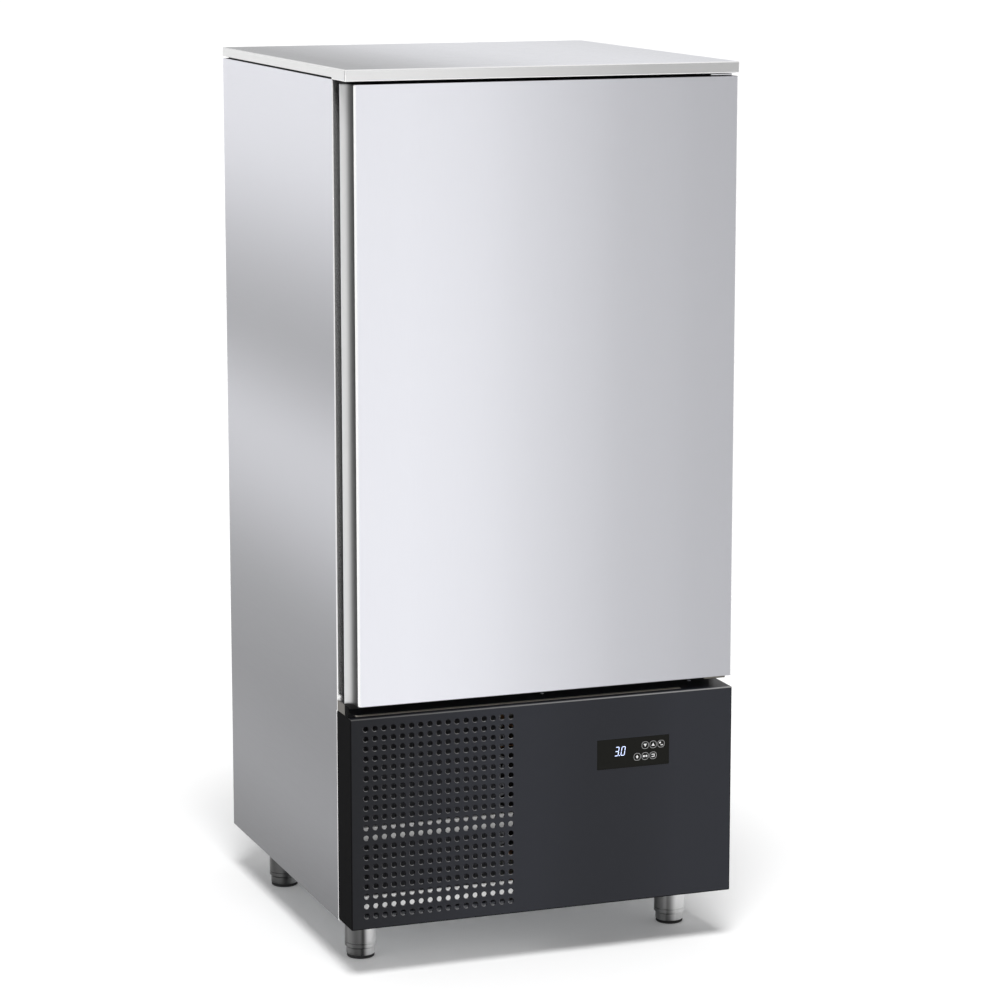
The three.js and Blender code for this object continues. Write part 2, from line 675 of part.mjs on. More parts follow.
function doorGasket() {
  const [bottom, top] = [DOOR_BOTTOM + GASKET_SILL, DOOR_TOP - GASKET_SILL];
  const shape = frameShape(
    [[-GASKET_SIDE, GASKET_SIDE], [bottom, top]],
    [
      [-GASKET_SIDE + GASKET_WIDTH, GASKET_SIDE - GASKET_WIDTH],
      [bottom + GASKET_WIDTH, top - GASKET_WIDTH],
    ],
  );
  return prismY(shape, [DOOR_REAR + CLEARANCE, CABINET_FRONT - CLEARANCE]);
}

add('door_skin', doorSkin(), STAINLESS);
add('door_core', doorCore(), FOAM);
add('door_liner', block(
  [GRIP_RIGHT + CLEARANCE, CORE_RIGHT],
  [DOOR_LINER_FRONT, DOOR_REAR],
  [DOOR_BOTTOM + CAP_THICKNESS + CLEARANCE, DOOR_TOP - CAP_THICKNESS - CLEARANCE],
), STAINLESS);
add('door_cap_bottom', doorCap([DOOR_BOTTOM, DOOR_BOTTOM + CAP_THICKNESS]), GREY_PLASTIC);
add('door_cap_top', doorCap([DOOR_TOP - CAP_THICKNESS, DOOR_TOP]), GREY_PLASTIC);
add('door_grip', doorGrip(), BLACK_PLASTIC);
add('door_gasket', doorGasket(), RUBBER);
add('hinge_bush_lower', doorBush([DOOR_BOTTOM, DOOR_BOTTOM + BUSH_DEPTH]), BLACK_PLASTIC);
add('hinge_bush_upper', doorBush([DOOR_TOP - BUSH_DEPTH, DOOR_TOP]), BLACK_PLASTIC);

// Hinge plate over or under the door, folded against the cabinet, with its pin.
function hingeBracket(plate, leg, pin) {
  const sides = [AXIS_X - HINGE_PLATE_WIDTH / 2, AXIS_X + HINGE_PLATE_WIDTH / 2];
  const rear = CABINET_FRONT - CLEARANCE;
  return join([
    block(sides, [AXIS_Y - HINGE_PLATE_NOSE, rear], plate),
    block(sides, [rear - UPPER_PLATE, rear], leg),
    cylinderZ(AXIS_X, AXIS_Y, PIN_RADIUS, pin),
  ]);
}

const LOWER_PLATE_TOP = DOOR_BOTTOM - PLATE_TO_DOOR;
const UPPER_PLATE_BOTTOM = DOOR_TOP + (DOOR_TOP_GAP - UPPER_PLATE) / 2;
add('hinge_bracket_lower', hingeBracket(
  [LOWER_PLATE_TOP - LOWER_PLATE, LOWER_PLATE_TOP],
  [LOWER_PLATE_TOP - LOWER_PLATE, LOWER_PLATE_TOP + HINGE_LEG - CLEARANCE],
  [LOWER_PLATE_TOP - OVERLAP, DOOR_BOTTOM + PIN_ENGAGEMENT],
), STAINLESS);
add('hinge_bracket_upper', hingeBracket(
  [UPPER_PLATE_BOTTOM, UPPER_PLATE_BOTTOM + UPPER_PLATE],
  [UPPER_PLATE_BOTTOM - HINGE_LEG + CLEARANCE, UPPER_PLATE_BOTTOM + UPPER_PLATE],
  [DOOR_TOP - PIN_ENGAGEMENT, UPPER_PLATE_BOTTOM + OVERLAP],
), STAINLESS);

// ---------------------------------------------------------------- lower front panel
const WINDOW_LEFT = LEFT + WINDOW_FROM_LEFT;
const WINDOW_RIGHT = WINDOW_LEFT + WINDOW_WIDTH;
const WINDOW_TOP = PANEL_TOP - WINDOW_FROM_TOP;
const WINDOW_BOTTOM = WINDOW_TOP - WINDOW_HEIGHT;

function lowerPanel() {
  const through = [FRONT - SHEET, FRONT + 2 * SHEET];
  const openings = [block(
    [WINDOW_LEFT - CLEARANCE, WINDOW_RIGHT + CLEARANCE],
    through,
    [WINDOW_BOTTOM - CLEARANCE, WINDOW_TOP + CLEARANCE],
  ).toNonIndexed()];
  for (let column = 0; column < HOLE_COLUMNS; column += 1) {
    for (let row = 0; row < HOLE_ROWS; row += 1) {
      const x = LEFT + HOLE_FROM_SIDE + column * HOLE_COLUMN_PITCH;
      const z = PANEL_TOP - HOLE_FROM_TOP - row * HOLE_ROW_PITCH;
      openings.push(prismY(roundShape(x, z, HOLE_DIAMETER / 2, HOLE_SIDES), through));
    }
  }
  const rear = CABINET_FRONT - CLEARANCE;
  const cover = block([LEFT, RIGHT], [FRONT, rear], [PANEL_BOTTOM, PANEL_TOP]);
  const hollow = block(
    [LEFT + SHEET, RIGHT - SHEET],
    [FRONT + SHEET, CABINET_FRONT],
    [PANEL_BOTTOM + SHEET, PANEL_TOP - SHEET],
  );
  return perforate(cut(cover, [hollow]), openings);
}

const keyPlaces = [];
for (let row = 0; row < KEY_ROWS; row += 1) {
  for (let column = 0; column < KEY_COLUMNS; column += 1) {
    const fromLast = KEY_COLUMNS - 1 - column + row;
    keyPlaces.push([
      WINDOW_RIGHT - KEY_FROM_RIGHT - fromLast * KEY_COLUMN_PITCH,
      WINDOW_TOP - KEY_FROM_TOP - row * KEY_ROW_PITCH,
    ]);
  }
}

function displayModule() {
  const front = block(
    [WINDOW_LEFT, WINDOW_RIGHT],
    [FRONT, FRONT + MODULE_DEPTH],
    [WINDOW_BOTTOM, WINDOW_TOP],
  );
  const body = block(
    [WINDOW_LEFT - MODULE_RIM, WINDOW_RIGHT + MODULE_RIM],
    [FRONT + SHEET + CLEARANCE, FRONT + MODULE_DEPTH],
    [WINDOW_BOTTOM - MODULE_RIM, WINDOW_TOP + MODULE_RIM],
  );
  const pocketSize = KEY_SIZE + 2 * CLEARANCE;
  const pocketDepth = KEY_DEPTH + 2 * KEY_TRAVEL;
  const pockets = keyPlaces.map(([x, z]) => prismY(
    roundedRectangle(x, z, pocketSize, pocketSize, KEY_RADIUS + CLEARANCE),
    [FRONT - CLEARANCE, FRONT + pocketDepth],
  ));
  return cut(join([front, body]), pockets);
}

add('lower_panel', lowerPanel(), BLACK_SHEET);
add('display_module', displayModule(), GLOSS_BLACK);
keyPlaces.forEach(([x, z], i) => {
  const key = roundedRectangle(x, z, KEY_SIZE, KEY_SIZE, KEY_RADIUS);
  add(`key_${i + 1}`, prismY(key, [FRONT, FRONT + KEY_DEPTH]), GLOSS_BLACK);
});

// Small angle that closes the left end of the gap under the door.
function cornerPlate() {
  const bottom = PANEL_TOP + CLEARANCE;
  const top = DOOR_BOTTOM - PLATE_TO_DOOR;
  const front = outline([
    [-SIDE_OUTER, bottom],
    [-FRAME_SIDE, bottom],
    [-FRAME_SIDE, bottom + SHEET],
    [-SIDE_INNER, bottom + SHEET],
    [-SIDE_INNER, top],
    [-SIDE_OUTER, top],
  ]);
  return prismY(front, [FRONT + RETURN_WIDTH, CABINET_FRONT - CLEARANCE]);
}

add('corner_plate', cornerPlate(), STAINLESS);

// ---------------------------------------------------------------- tray racks
const RACK_FROM = CABINET_FRONT + RACK_FRONT;
const RACK_TO = BAFFLE_FRONT - BAFFLE_GAP;
const RACK_OUTER = CHAMBER_SIDE - CLEARANCE;
const RAIL_ROOM = CHAMBER_TOP - CHAMBER_BOTTOM - RAIL_FIRST - RAIL_HEADROOM;
const RAIL_COUNT = Math.floor(RAIL_ROOM / RAIL_PITCH) + 1;

function trayRack(sign) {
  const across = (near, far) => [sign * near, sign * far].sort((a, b) => a - b);
  const firstRail = CHAMBER_BOTTOM + RAIL_FIRST;
  const lastRail = firstRail + (RAIL_COUNT - 1) * RAIL_PITCH;
  const upright = (y) => block(
    across(RACK_OUTER, RACK_OUTER - UPRIGHT_THICKNESS),
    [y - UPRIGHT_WIDTH / 2, y + UPRIGHT_WIDTH / 2],
    [firstRail - RACK_FOOT, lastRail + RACK_FOOT],
  );
  const inner = RACK_OUTER - UPRIGHT_THICKNESS;
  const pieces = [upright(RACK_FROM + UPRIGHT_INSET), upright(RACK_TO - UPRIGHT_INSET)];
  for (let i = 0; i < RAIL_COUNT; i += 1) {
    const z = firstRail + i * RAIL_PITCH;
    const section = outline([
      [sign * (inner + OVERLAP), z],
      [sign * (inner - RAIL_REACH), z],
      [sign * (inner - RAIL_REACH), z + RAIL_THICKNESS],
      [sign * (inner - RAIL_THICKNESS), z + RAIL_THICKNESS],
      [sign * (inner - RAIL_THICKNESS), z + RAIL_HEIGHT],
      [sign * (inner + OVERLAP), z + RAIL_HEIGHT],
    ]);
    pieces.push(prismY(section, [RACK_FROM, RACK_TO]));
  }
  return join(pieces);
}

add('tray_rack_left', trayRack(-1), STAINLESS);
add('tray_rack_right', trayRack(1), STAINLESS);

// ---------------------------------------------------------------- fans
const FAN_HOLE = FAN_RADIUS + FAN_HOLE_GAP;

function bladeShape() {
  const root = FAN_HUB_RADIUS - BLADE_SINK;
  const shoulder = FAN_RADIUS - BLADE_SHOULDER;
  const middle = (root + shoulder) / 2;
  const [rootHalf, tipHalf] = [BLADE_ROOT_WIDTH / 2, BLADE_TIP_WIDTH / 2];
  const shape = new THREE.Shape();
  shape.moveTo(root, -rootHalf);
  shape.quadraticCurveTo(middle, -tipHalf - BLADE_BOW, shoulder, -tipHalf);
  shape.quadraticCurveTo(FAN_RADIUS, 0, shoulder, tipHalf);
  shape.quadraticCurveTo(middle, tipHalf - BLADE_BOW, root, rootHalf);
  return shape;
}

// Hub and pitched blades behind a plate whose rear face is at plateY.
function fan(x, plateY, z) {
  const from = plateY + FAN_STANDOFF;
  const to = from + FAN_DEPTH;
  const middle = (from + to) / 2;
  const hub = cylinderY(x, z, FAN_HUB_RADIUS, [from, to], 16);
  const blades = Array.from({ length: FAN_BLADES }, (_, i) => {
    const blade = extrude(bladeShape(), BLADE_THICKNESS).translate(0, 0, -BLADE_THICKNESS / 2);
    blade.rotateX(Math.PI / 2 + THREE.MathUtils.degToRad(BLADE_PITCH_DEG));
    blade.rotateY((i * 2 * Math.PI) / FAN_BLADES);
    return blade.translate(x, middle, z);
  });
  const bore = cylinderY(x, z, SHAFT_RADIUS + CLEARANCE, [middle, to + CLEARANCE], 12);
  return cut(join([hub, ...blades]), [bore]);
}

// Motor with its shaft in the hub and three arms that stand on the plate round the blades.
function fanMotor(x, plateY, z) {
  const fanEnd = plateY + FAN_STANDOFF + FAN_DEPTH;
  const front = fanEnd + CLEARANCE;
  const armTo = FAN_RADIUS + ARM_REACH;
  const arms = [0, 1, 2].map((i) => {
    const side = outline([
      [0, front],
      [armTo - ARM_THICKNESS, front],
      [armTo - ARM_THICKNESS, plateY + CLEARANCE],
      [armTo, plateY + CLEARANCE],
      [armTo, front + ARM_THICKNESS],
      [0, front + ARM_THICKNESS],
    ]);
    const arm = prismZ(side, [-ARM_WIDTH / 2, ARM_WIDTH / 2]);
    return arm.rotateY(Math.PI / 2 + (i * 2 * Math.PI) / 3).translate(x, 0, z);
  });
  const housing = cylinderY(x, z, MOTOR_RADIUS, [front, front + MOTOR_LENGTH], 20);
  const shaftFrom = fanEnd - FAN_DEPTH / 2 + CLEARANCE;
  const shaft = cylinderY(x, z, SHAFT_RADIUS, [shaftFrom, front + OVERLAP], 12);
  return join([housing, shaft, ...arms]);
}

// ---------------------------------------------------------------- evaporator
const FAN_INSET = BAFFLE_EDGE + FAN_FROM_END;
const EVAPORATOR_FANS = [CHAMBER_BOTTOM + FAN_INSET, CHAMBER_TOP - FAN_INSET];

function fanBaffle() {
  const shape = rectangle(
    [-RACK_OUTER, RACK_OUTER],
    [CHAMBER_BOTTOM + BAFFLE_EDGE, CHAMBER_TOP - BAFFLE_EDGE],
  );
  EVAPORATOR_FANS.forEach((z) => shape.holes.push(roundShape(0, z, FAN_HOLE, 32)));
  return prismY(shape, [BAFFLE_FRONT, BAFFLE_REAR]);
}

// Fin pack between two end plates that reach back to the liner.
function evaporatorCoil() {
  const rear = CHAMBER_BACK - CLEARANCE;
  const [bottom, top] = [CHAMBER_BOTTOM + COIL_FROM_END, CHAMBER_TOP - COIL_FROM_END];
  const pack = block([-COIL_WIDTH / 2, COIL_WIDTH / 2], [COIL_FRONT, COIL_REAR], [bottom, top]);
  const plate = (x) => block(
    [x - COIL_PLATE / 2, x + COIL_PLATE / 2],
    [COIL_FRONT - COIL_PLATE, rear],
    [bottom - COIL_PLATE, top + COIL_PLATE],
  );
  return join([pack, plate(-COIL_WIDTH / 2), plate(COIL_WIDTH / 2)]);
}

add('fan_baffle', fanBaffle(), STAINLESS);
add('evaporator_coil', evaporatorCoil(), ALUMINIUM);
add('evaporator_drip_tray', tray(
  [-DRIP_WIDTH / 2, DRIP_WIDTH / 2],
  [CHAMBER_BACK - CLEARANCE - DRIP_DEPTH, CHAMBER_BACK - CLEARANCE],
  [CHAMBER_BOTTOM + CLEARANCE, CHAMBER_BOTTOM + CLEARANCE + DRIP_HEIGHT],
  TRAY_WALL,
), STAINLESS);
EVAPORATOR_FANS.forEach((z, i) => {
  add(`evaporator_fan_${i + 1}`, fan(0, BAFFLE_REAR, z), BLACK_PLASTIC);
  add(`evaporator_motor_${i + 1}`, fanMotor(0, BAFFLE_REAR, z), ALUMINIUM);
});

// ---------------------------------------------------------------- condensing unit
const CONDENSER_LEFT = LEFT + CONDENSER_FROM_LEFT;
const CONDENSER_RIGHT = CONDENSER_LEFT + CONDENSER_WIDTH;
const CONDENSER_FRONT = CABINET_FRONT + CONDENSER_FROM_FRONT;
const CONDENSER_REAR = CONDENSER_FRONT + CONDENSER_DEPTH;
const CONDENSER_TOP = STAND + CONDENSER_HEIGHT;
const CONDENSER_MIDDLE_X = (CONDENSER_LEFT + CONDENSER_RIGHT) / 2;
const CONDENSER_MIDDLE_Z = (STAND + CONDENSER_TOP) / 2;
const SHROUD_REAR = CONDENSER_REAR + CLEARANCE + SHROUD_DEPTH;
const STUB_Y = (CONDENSER_FRONT + CONDENSER_REAR) / 2;
const STUB_END = CONDENSER_RIGHT + STUB_LENGTH;
const STUB_HIGH = CONDENSER_TOP - 2 * PIPE_BEND;
const STUB_LOW = STAND + PIPE_BEND;

function condenserCoil() {
  const pack = block(
    [CONDENSER_LEFT, CONDENSER_RIGHT],
    [CONDENSER_FRONT, CONDENSER_REAR],
    [STAND, CONDENSER_TOP],
  );
  const stub = (z) => cylinderX(STUB_Y, z, STUB_RADIUS, [CONDENSER_RIGHT - OVERLAP, STUB_END]);
  return join([pack, stub(STUB_HIGH), stub(STUB_LOW)]);
}

function condenserShroud() {
  const front = CONDENSER_REAR + CLEARANCE;
  const box = block([CONDENSER_LEFT, CONDENSER_RIGHT], [front, SHROUD_REAR], [STAND, CONDENSER_TOP]);
  const hollow = block(
    [CONDENSER_LEFT + SHEET, CONDENSER_RIGHT - SHEET],
    [front - SHEET, SHROUD_REAR - SHEET],
    [STAND + SHEET, CONDENSER_TOP - SHEET],
  );
  const span = [front, SHROUD_REAR + SHEET];
  return cut(box, [hollow, cylinderY(CONDENSER_MIDDLE_X, CONDENSER_MIDDLE_Z, FAN_HOLE, span, 32)]);
}

add('condenser_coil', condenserCoil(), ALUMINIUM);
add('condenser_shroud', condenserShroud(), GALVANISED);
add('condenser_fan', fan(CONDENSER_MIDDLE_X, SHROUD_REAR, CONDENSER_MIDDLE_Z), BLACK_PLASTIC);
add('condenser_motor', fanMotor(CONDENSER_MIDDLE_X, SHROUD_REAR, CONDENSER_MIDDLE_Z), BLACK_ENAMEL);

const COMPRESSOR_X = RIGHT - COMPRESSOR_FROM_RIGHT;
const COMPRESSOR_Y = BACK - COMPRESSOR_FROM_BACK;
const RECEIVER_X = RIGHT - RECEIVER_FROM_RIGHT;
const RECEIVER_Y = BACK - RECEIVER_FROM_BACK;
const PORT_TOP = STAND + COMPRESSOR_MOUNT + COMPRESSOR_HEIGHT + STUB_LENGTH;

function compressor() {
  const plateBottom = STAND + COMPRESSOR_MOUNT;
  const [x, y, r] = [COMPRESSOR_X, COMPRESSOR_Y, COMPRESSOR_RADIUS];
  const pot = vessel(COMPRESSOR_SIDE, r, COMPRESSOR_HEIGHT, x, y, plateBottom, 24);
  const plate = block([x - r, x + r], [y - r, y + r], [plateBottom, plateBottom + BASE_PLATE]);
  const mounts = [[-1, -1], [1, -1], [-1, 1], [1, 1]].map(([i, j]) => cylinderZ(
    x + i * (r - MOUNT_INSET),
    y + j * (r - MOUNT_INSET),
    MOUNT_RADIUS,
    [STAND, plateBottom + OVERLAP],
    10,
  ));
  const ports = [-1, 1].map((side) => cylinderZ(
    x + side * PORT_OFFSET,
    y,
    STUB_RADIUS,
    [PORT_TOP - PORT_LENGTH, PORT_TOP],
    12,
  ));
  return join([pot, plate, ...mounts, ...ports]);
}

// Receiver with the liquid line from the condenser brazed into its top.
function receiver() {
  const body = vessel(RECEIVER_SIDE, RECEIVER_RADIUS, RECEIVER_HEIGHT, RECEIVER_X, RECEIVER_Y, STAND, 20);
  const top = STAND + RECEIVER_HEIGHT;
  const crossing = COMPRESSOR_Y - 2 * COMPRESSOR_RADIUS - PIPE_BEND;
  const start = STUB_END + CLEARANCE;
  const line = pipe([
    [start, STUB_Y, STUB_LOW],
    [start + 2 * PIPE_BEND, STUB_Y, STUB_LOW],
    [start + 2 * PIPE_BEND, crossing, STUB_LOW],
    [RECEIVER_X, crossing, STUB_LOW],
    [RECEIVER_X, crossing, top + 2 * PIPE_BEND],
    [RECEIVER_X, RECEIVER_Y, top + 2 * PIPE_BEND],
    [RECEIVER_X, RECEIVER_Y, top - BRAZED_DEPTH],
  ], PIPE_RADIUS, PIPE_BEND);
  return join([body, line]);
}

const PIPE_START = PORT_TOP + CLEARANCE;

// From the compressor's left port up and forward to the condenser's high stub.
function dischargePipe() {
  const portX = COMPRESSOR_X - PORT_OFFSET;
  const turnX = STUB_END + 2 * PIPE_BEND;
  return pipe([
    [portX, COMPRESSOR_Y, PIPE_START],
    [portX, COMPRESSOR_Y, STUB_HIGH],
    [turnX, COMPRESSOR_Y, STUB_HIGH],
    [turnX, STUB_Y, STUB_HIGH],
    [STUB_END + CLEARANCE, STUB_Y, STUB_HIGH],
  ], PIPE_RADIUS, PIPE_BEND);
}

// From its right port back and up through the chamber's floor.
function suctionPipe() {
  const portX = COMPRESSOR_X + PORT_OFFSET;
  const level = PORT_TOP + 2 * PIPE_BEND;
  const riserY = COMPRESSOR_Y + COMPRESSOR_RADIUS + 2 * PIPE_BEND;
  return pipe([
    [portX, COMPRESSOR_Y, PIPE_START],
    [portX, COMPRESSOR_Y, level],
    [portX, riserY, level],
    [portX, riserY, FLOOR_WALL_BOTTOM - CLEARANCE],
  ], PIPE_RADIUS, PIPE_BEND);
}

add('compressor', compressor(), BLACK_ENAMEL);
add('receiver', receiver(), BLACK_ENAMEL);
add('discharge_pipe', dischargePipe(), COPPER);
add('suction_pipe', suctionPipe(), COPPER);
add('electric_box', block(
  [CORE_SIDE - ELECTRIC_WIDTH, CORE_SIDE],
  [CONDENSER_FRONT, CONDENSER_FRONT + ELECTRIC_DEPTH],
  [FLOOR_WALL_BOTTOM - CLEARANCE - ELECTRIC_HEIGHT, FLOOR_WALL_BOTTOM - CLEARANCE],
), PALE_PLASTIC);
add('evaporation_tray', tray(
  [CONDENSER_LEFT, CONDENSER_LEFT + EVAPORATION_TRAY_WIDTH],
  [CORE_BACK - EVAPORATION_TRAY_DEPTH, CORE_BACK - CLEARANCE],
  [STAND, STAND + EVAPORATION_TRAY_HEIGHT],
  TRAY_WALL,
), GALVANISED);

// Cable gland under the base, near the rear right corner.
function inletGland() {
  const [x, y] = [RIGHT - FOOT_INSET_SIDE, BACK - FOOT_INSET_BACK / 2];
  const top = LEG_HEIGHT - CLEARANCE;
  const nut = cylinderZ(x, y, GLAND_RADIUS, [top - GLAND_NUT_HEIGHT, top], 6);
  const coneHeight = GLAND_HEIGHT - GLAND_NUT_HEIGHT + OVERLAP;
  const cone = turned([
    [0, 0],
    [GLAND_CONE_RADIUS - GLAND_TAPER, 0],
    [GLAND_CONE_RADIUS, GLAND_TAPER],
    [GLAND_CONE_RADIUS, coneHeight],
    [0, coneHeight],
  ], x, y, top - GLAND_HEIGHT, 16);
  const bore = cylinderZ(x, y, GLAND_BORE, [top - GLAND_HEIGHT - OVERLAP, top - GLAND_NUT_HEIGHT / 2], 12);
  return cut(join([nut, cone]), [bore]);
}

add('inlet_gland', inletGland(), BLACK_PLASTIC);

export default group;
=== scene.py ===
# %% [markdown]
# # A blast chiller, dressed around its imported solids
# The real machine is a tall stainless cabinet on four round feet. An insulated door covers the
# chamber, and a black perforated cover hides the condensing unit under it.
# Everything that moves or fits is settled in the solids already. These cells give the machine its
# folded edges, holes, fins, screws and finishes, and then light it as a studio would.

# %% Load the solids
import math

import bmesh
import bpy
from mathutils import Matrix, Vector


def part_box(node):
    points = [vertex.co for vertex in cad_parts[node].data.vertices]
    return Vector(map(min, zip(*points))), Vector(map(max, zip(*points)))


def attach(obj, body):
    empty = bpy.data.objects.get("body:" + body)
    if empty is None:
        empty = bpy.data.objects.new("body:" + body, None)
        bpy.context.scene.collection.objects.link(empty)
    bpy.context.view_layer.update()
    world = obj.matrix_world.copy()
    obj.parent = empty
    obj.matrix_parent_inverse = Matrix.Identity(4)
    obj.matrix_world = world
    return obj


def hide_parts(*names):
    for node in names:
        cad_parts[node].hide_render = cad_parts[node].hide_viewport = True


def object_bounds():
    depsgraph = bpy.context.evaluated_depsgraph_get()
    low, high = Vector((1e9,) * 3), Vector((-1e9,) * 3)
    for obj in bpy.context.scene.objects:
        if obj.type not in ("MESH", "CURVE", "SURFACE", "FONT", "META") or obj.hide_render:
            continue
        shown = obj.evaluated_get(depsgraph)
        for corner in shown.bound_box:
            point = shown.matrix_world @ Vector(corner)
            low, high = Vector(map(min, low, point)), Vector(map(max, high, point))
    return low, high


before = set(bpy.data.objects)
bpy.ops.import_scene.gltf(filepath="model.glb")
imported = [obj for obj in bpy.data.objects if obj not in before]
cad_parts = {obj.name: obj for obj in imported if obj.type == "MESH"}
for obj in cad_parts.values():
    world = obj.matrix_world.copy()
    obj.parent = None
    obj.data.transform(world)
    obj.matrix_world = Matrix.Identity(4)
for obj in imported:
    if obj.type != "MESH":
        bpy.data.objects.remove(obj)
CAD_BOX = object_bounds()

# %% [markdown]
# ## Objects and nodes in one line
# Finishes, lights and repeated shapes are all drawn with nodes. One function adds a node and sets or
# links its inputs, so that a tree reads from top to bottom.

# %% Helpers for objects and nodes
def new_object(name, data):
    item = bpy.data.objects.new(name, data)
    bpy.context.scene.collection.objects.link(item)
    return item


def set_inputs(tree, node, values):
    """Sets or links a node's inputs, by name or by number."""
    for label, value in values.items():
        socket = node.inputs[label]
        if isinstance(value, bpy.types.NodeSocket):
            tree.links.new(value, socket)
        else:
            socket.default_value = value


def add_node(tree, kind, settings=None, slots=None, **inputs):
    """Adds a node with its settings and inputs, and returns its outputs."""
    node = tree.nodes.new(kind)
    for key, value in (settings or {}).items():
        setattr(node, key, value)
    named = {label.replace("_", " "): value for label, value in inputs.items()}
    set_inputs(tree, node, {**named, **(slots or {})})
    return node.outputs


# %% [markdown]
# ## The camera
# A long lens a little above the machine keeps its uprights nearly parallel, as catalogue pictures
# do. The lens stands to the left of the machine and looks down at it by a few degrees.

# %% Camera
CAMERA_PLACE = (-2.353, -6.521, 2.127)
CAMERA_YAW = -20.3
CAMERA_PITCH = -10.49
CAMERA_LENS = 125.45


def make_camera():
    data = bpy.data.cameras.new("camera")
    data.lens = CAMERA_LENS
    data.sensor_width = 36
    data.clip_end = 200
    camera = new_object("camera", data)
    camera.location = CAMERA_PLACE
    camera.rotation_euler = (math.radians(90 + CAMERA_PITCH), 0, math.radians(CAMERA_YAW))
    bpy.context.scene.camera = camera


make_camera()

# %% [markdown]
# ## Floor, background and light
# A product like this is shot on a white sweep. The floor here is a plain white sheet, and the world
# behind it is white to the lens, a little less in a reflection or through glass, and it gives less
# light again, so pale steel doesn't burn out. One broad lamp overhead draws the soft shadow on the floor.
# The lamp is kept out of reflections: steel shows the white room and the floor instead. A faint panel
# of light just behind the cover does what a flash does: it shows the zinc-coated straps there.

# %% Studio
FLOOR_SIZE = 120.0
FLOOR_WHITE = 0.88
WORLD_FILL = 0.44
WORLD_SHOWN = 0.8
SUN_STRENGTH = 2.4
SUN_ANGLE = 21.0
SUN_TURN = (22.0, -7.0, 0.0)
CAMERA_LIFT = 0.10
INNER_POWER = 1.0
INNER_SIZE = (0.40, 0.36)
INNER_PLACE = (-0.16, -0.400, 0.25)


def make_floor():
    form = bmesh.new()
    bmesh.ops.create_grid(form, x_segments=1, y_segments=1, size=FLOOR_SIZE / 2)
    mesh = bpy.data.meshes.new("floor")
    form.to_mesh(mesh)
    form.free()
    paint = bpy.data.materials.new("floor_paint")
    paint.use_nodes = True
    tree = paint.node_tree
    tree.nodes.clear()
    rays = add_node(tree, "ShaderNodeLightPath")
    matte = add_node(tree, "ShaderNodeBsdfDiffuse", Color=(FLOOR_WHITE, FLOOR_WHITE, FLOOR_WHITE, 1))
    times = {"operation": "MULTIPLY"}
    lift = add_node(tree, "ShaderNodeMath", times, {0: rays["Is Camera Ray"], 1: CAMERA_LIFT})
    glow = add_node(tree, "ShaderNodeEmission", Strength=lift[0])
    both = add_node(tree, "ShaderNodeAddShader", slots={0: matte[0], 1: glow[0]})
    add_node(tree, "ShaderNodeOutputMaterial", Surface=both[0])
    mesh.materials.append(paint)
    new_object("floor", mesh)


def make_world():
    world = bpy.data.worlds.new("studio")
    bpy.context.scene.world = world
    world.use_nodes = True
    tree = world.node_tree
    tree.nodes.clear()
    rays = add_node(tree, "ShaderNodeLightPath")
    larger = {"operation": "MAXIMUM"}
    mirrored, through = rays["Is Glossy Ray"], rays["Is Transmission Ray"]
    shown = add_node(tree, "ShaderNodeMath", larger, {0: mirrored, 1: through})
    strength = add_node(tree, "ShaderNodeMapRange", Value=shown[0], To_Min=WORLD_FILL, To_Max=WORLD_SHOWN)
    seen = add_node(tree, "ShaderNodeMath", larger, {0: strength[0], 1: rays["Is Camera Ray"]})
    background = add_node(tree, "ShaderNodeBackground", Color=(1, 1, 1, 1), Strength=seen[0])
    add_node(tree, "ShaderNodeOutputWorld", Surface=background[0])


def make_sun():
    data = bpy.data.lights.new("overhead", "SUN")
    data.energy = SUN_STRENGTH
    data.angle = math.radians(SUN_ANGLE)
    lamp = new_object("overhead", data)
    lamp.rotation_euler = tuple(math.radians(turn) for turn in SUN_TURN)
    lamp.visible_glossy = False


def make_inner_light():
    """Stands for the flash that reaches in through the cover's holes."""
    data = bpy.data.lights.new("behind_cover", "AREA")
    data.shape = "RECTANGLE"
    data.size, data.size_y = INNER_SIZE
    data.energy = INNER_POWER
    lamp = new_object("behind_cover", data)
    lamp.location = INNER_PLACE
    lamp.rotation_euler = (math.radians(90), 0, 0)
    for kind in ("camera", "glossy", "transmission"):
        setattr(lamp, f"visible_{kind}", False)


make_floor()
make_world()
make_sun()
make_inner_light()
bpy.context.scene.view_settings.view_transform = "Standard"
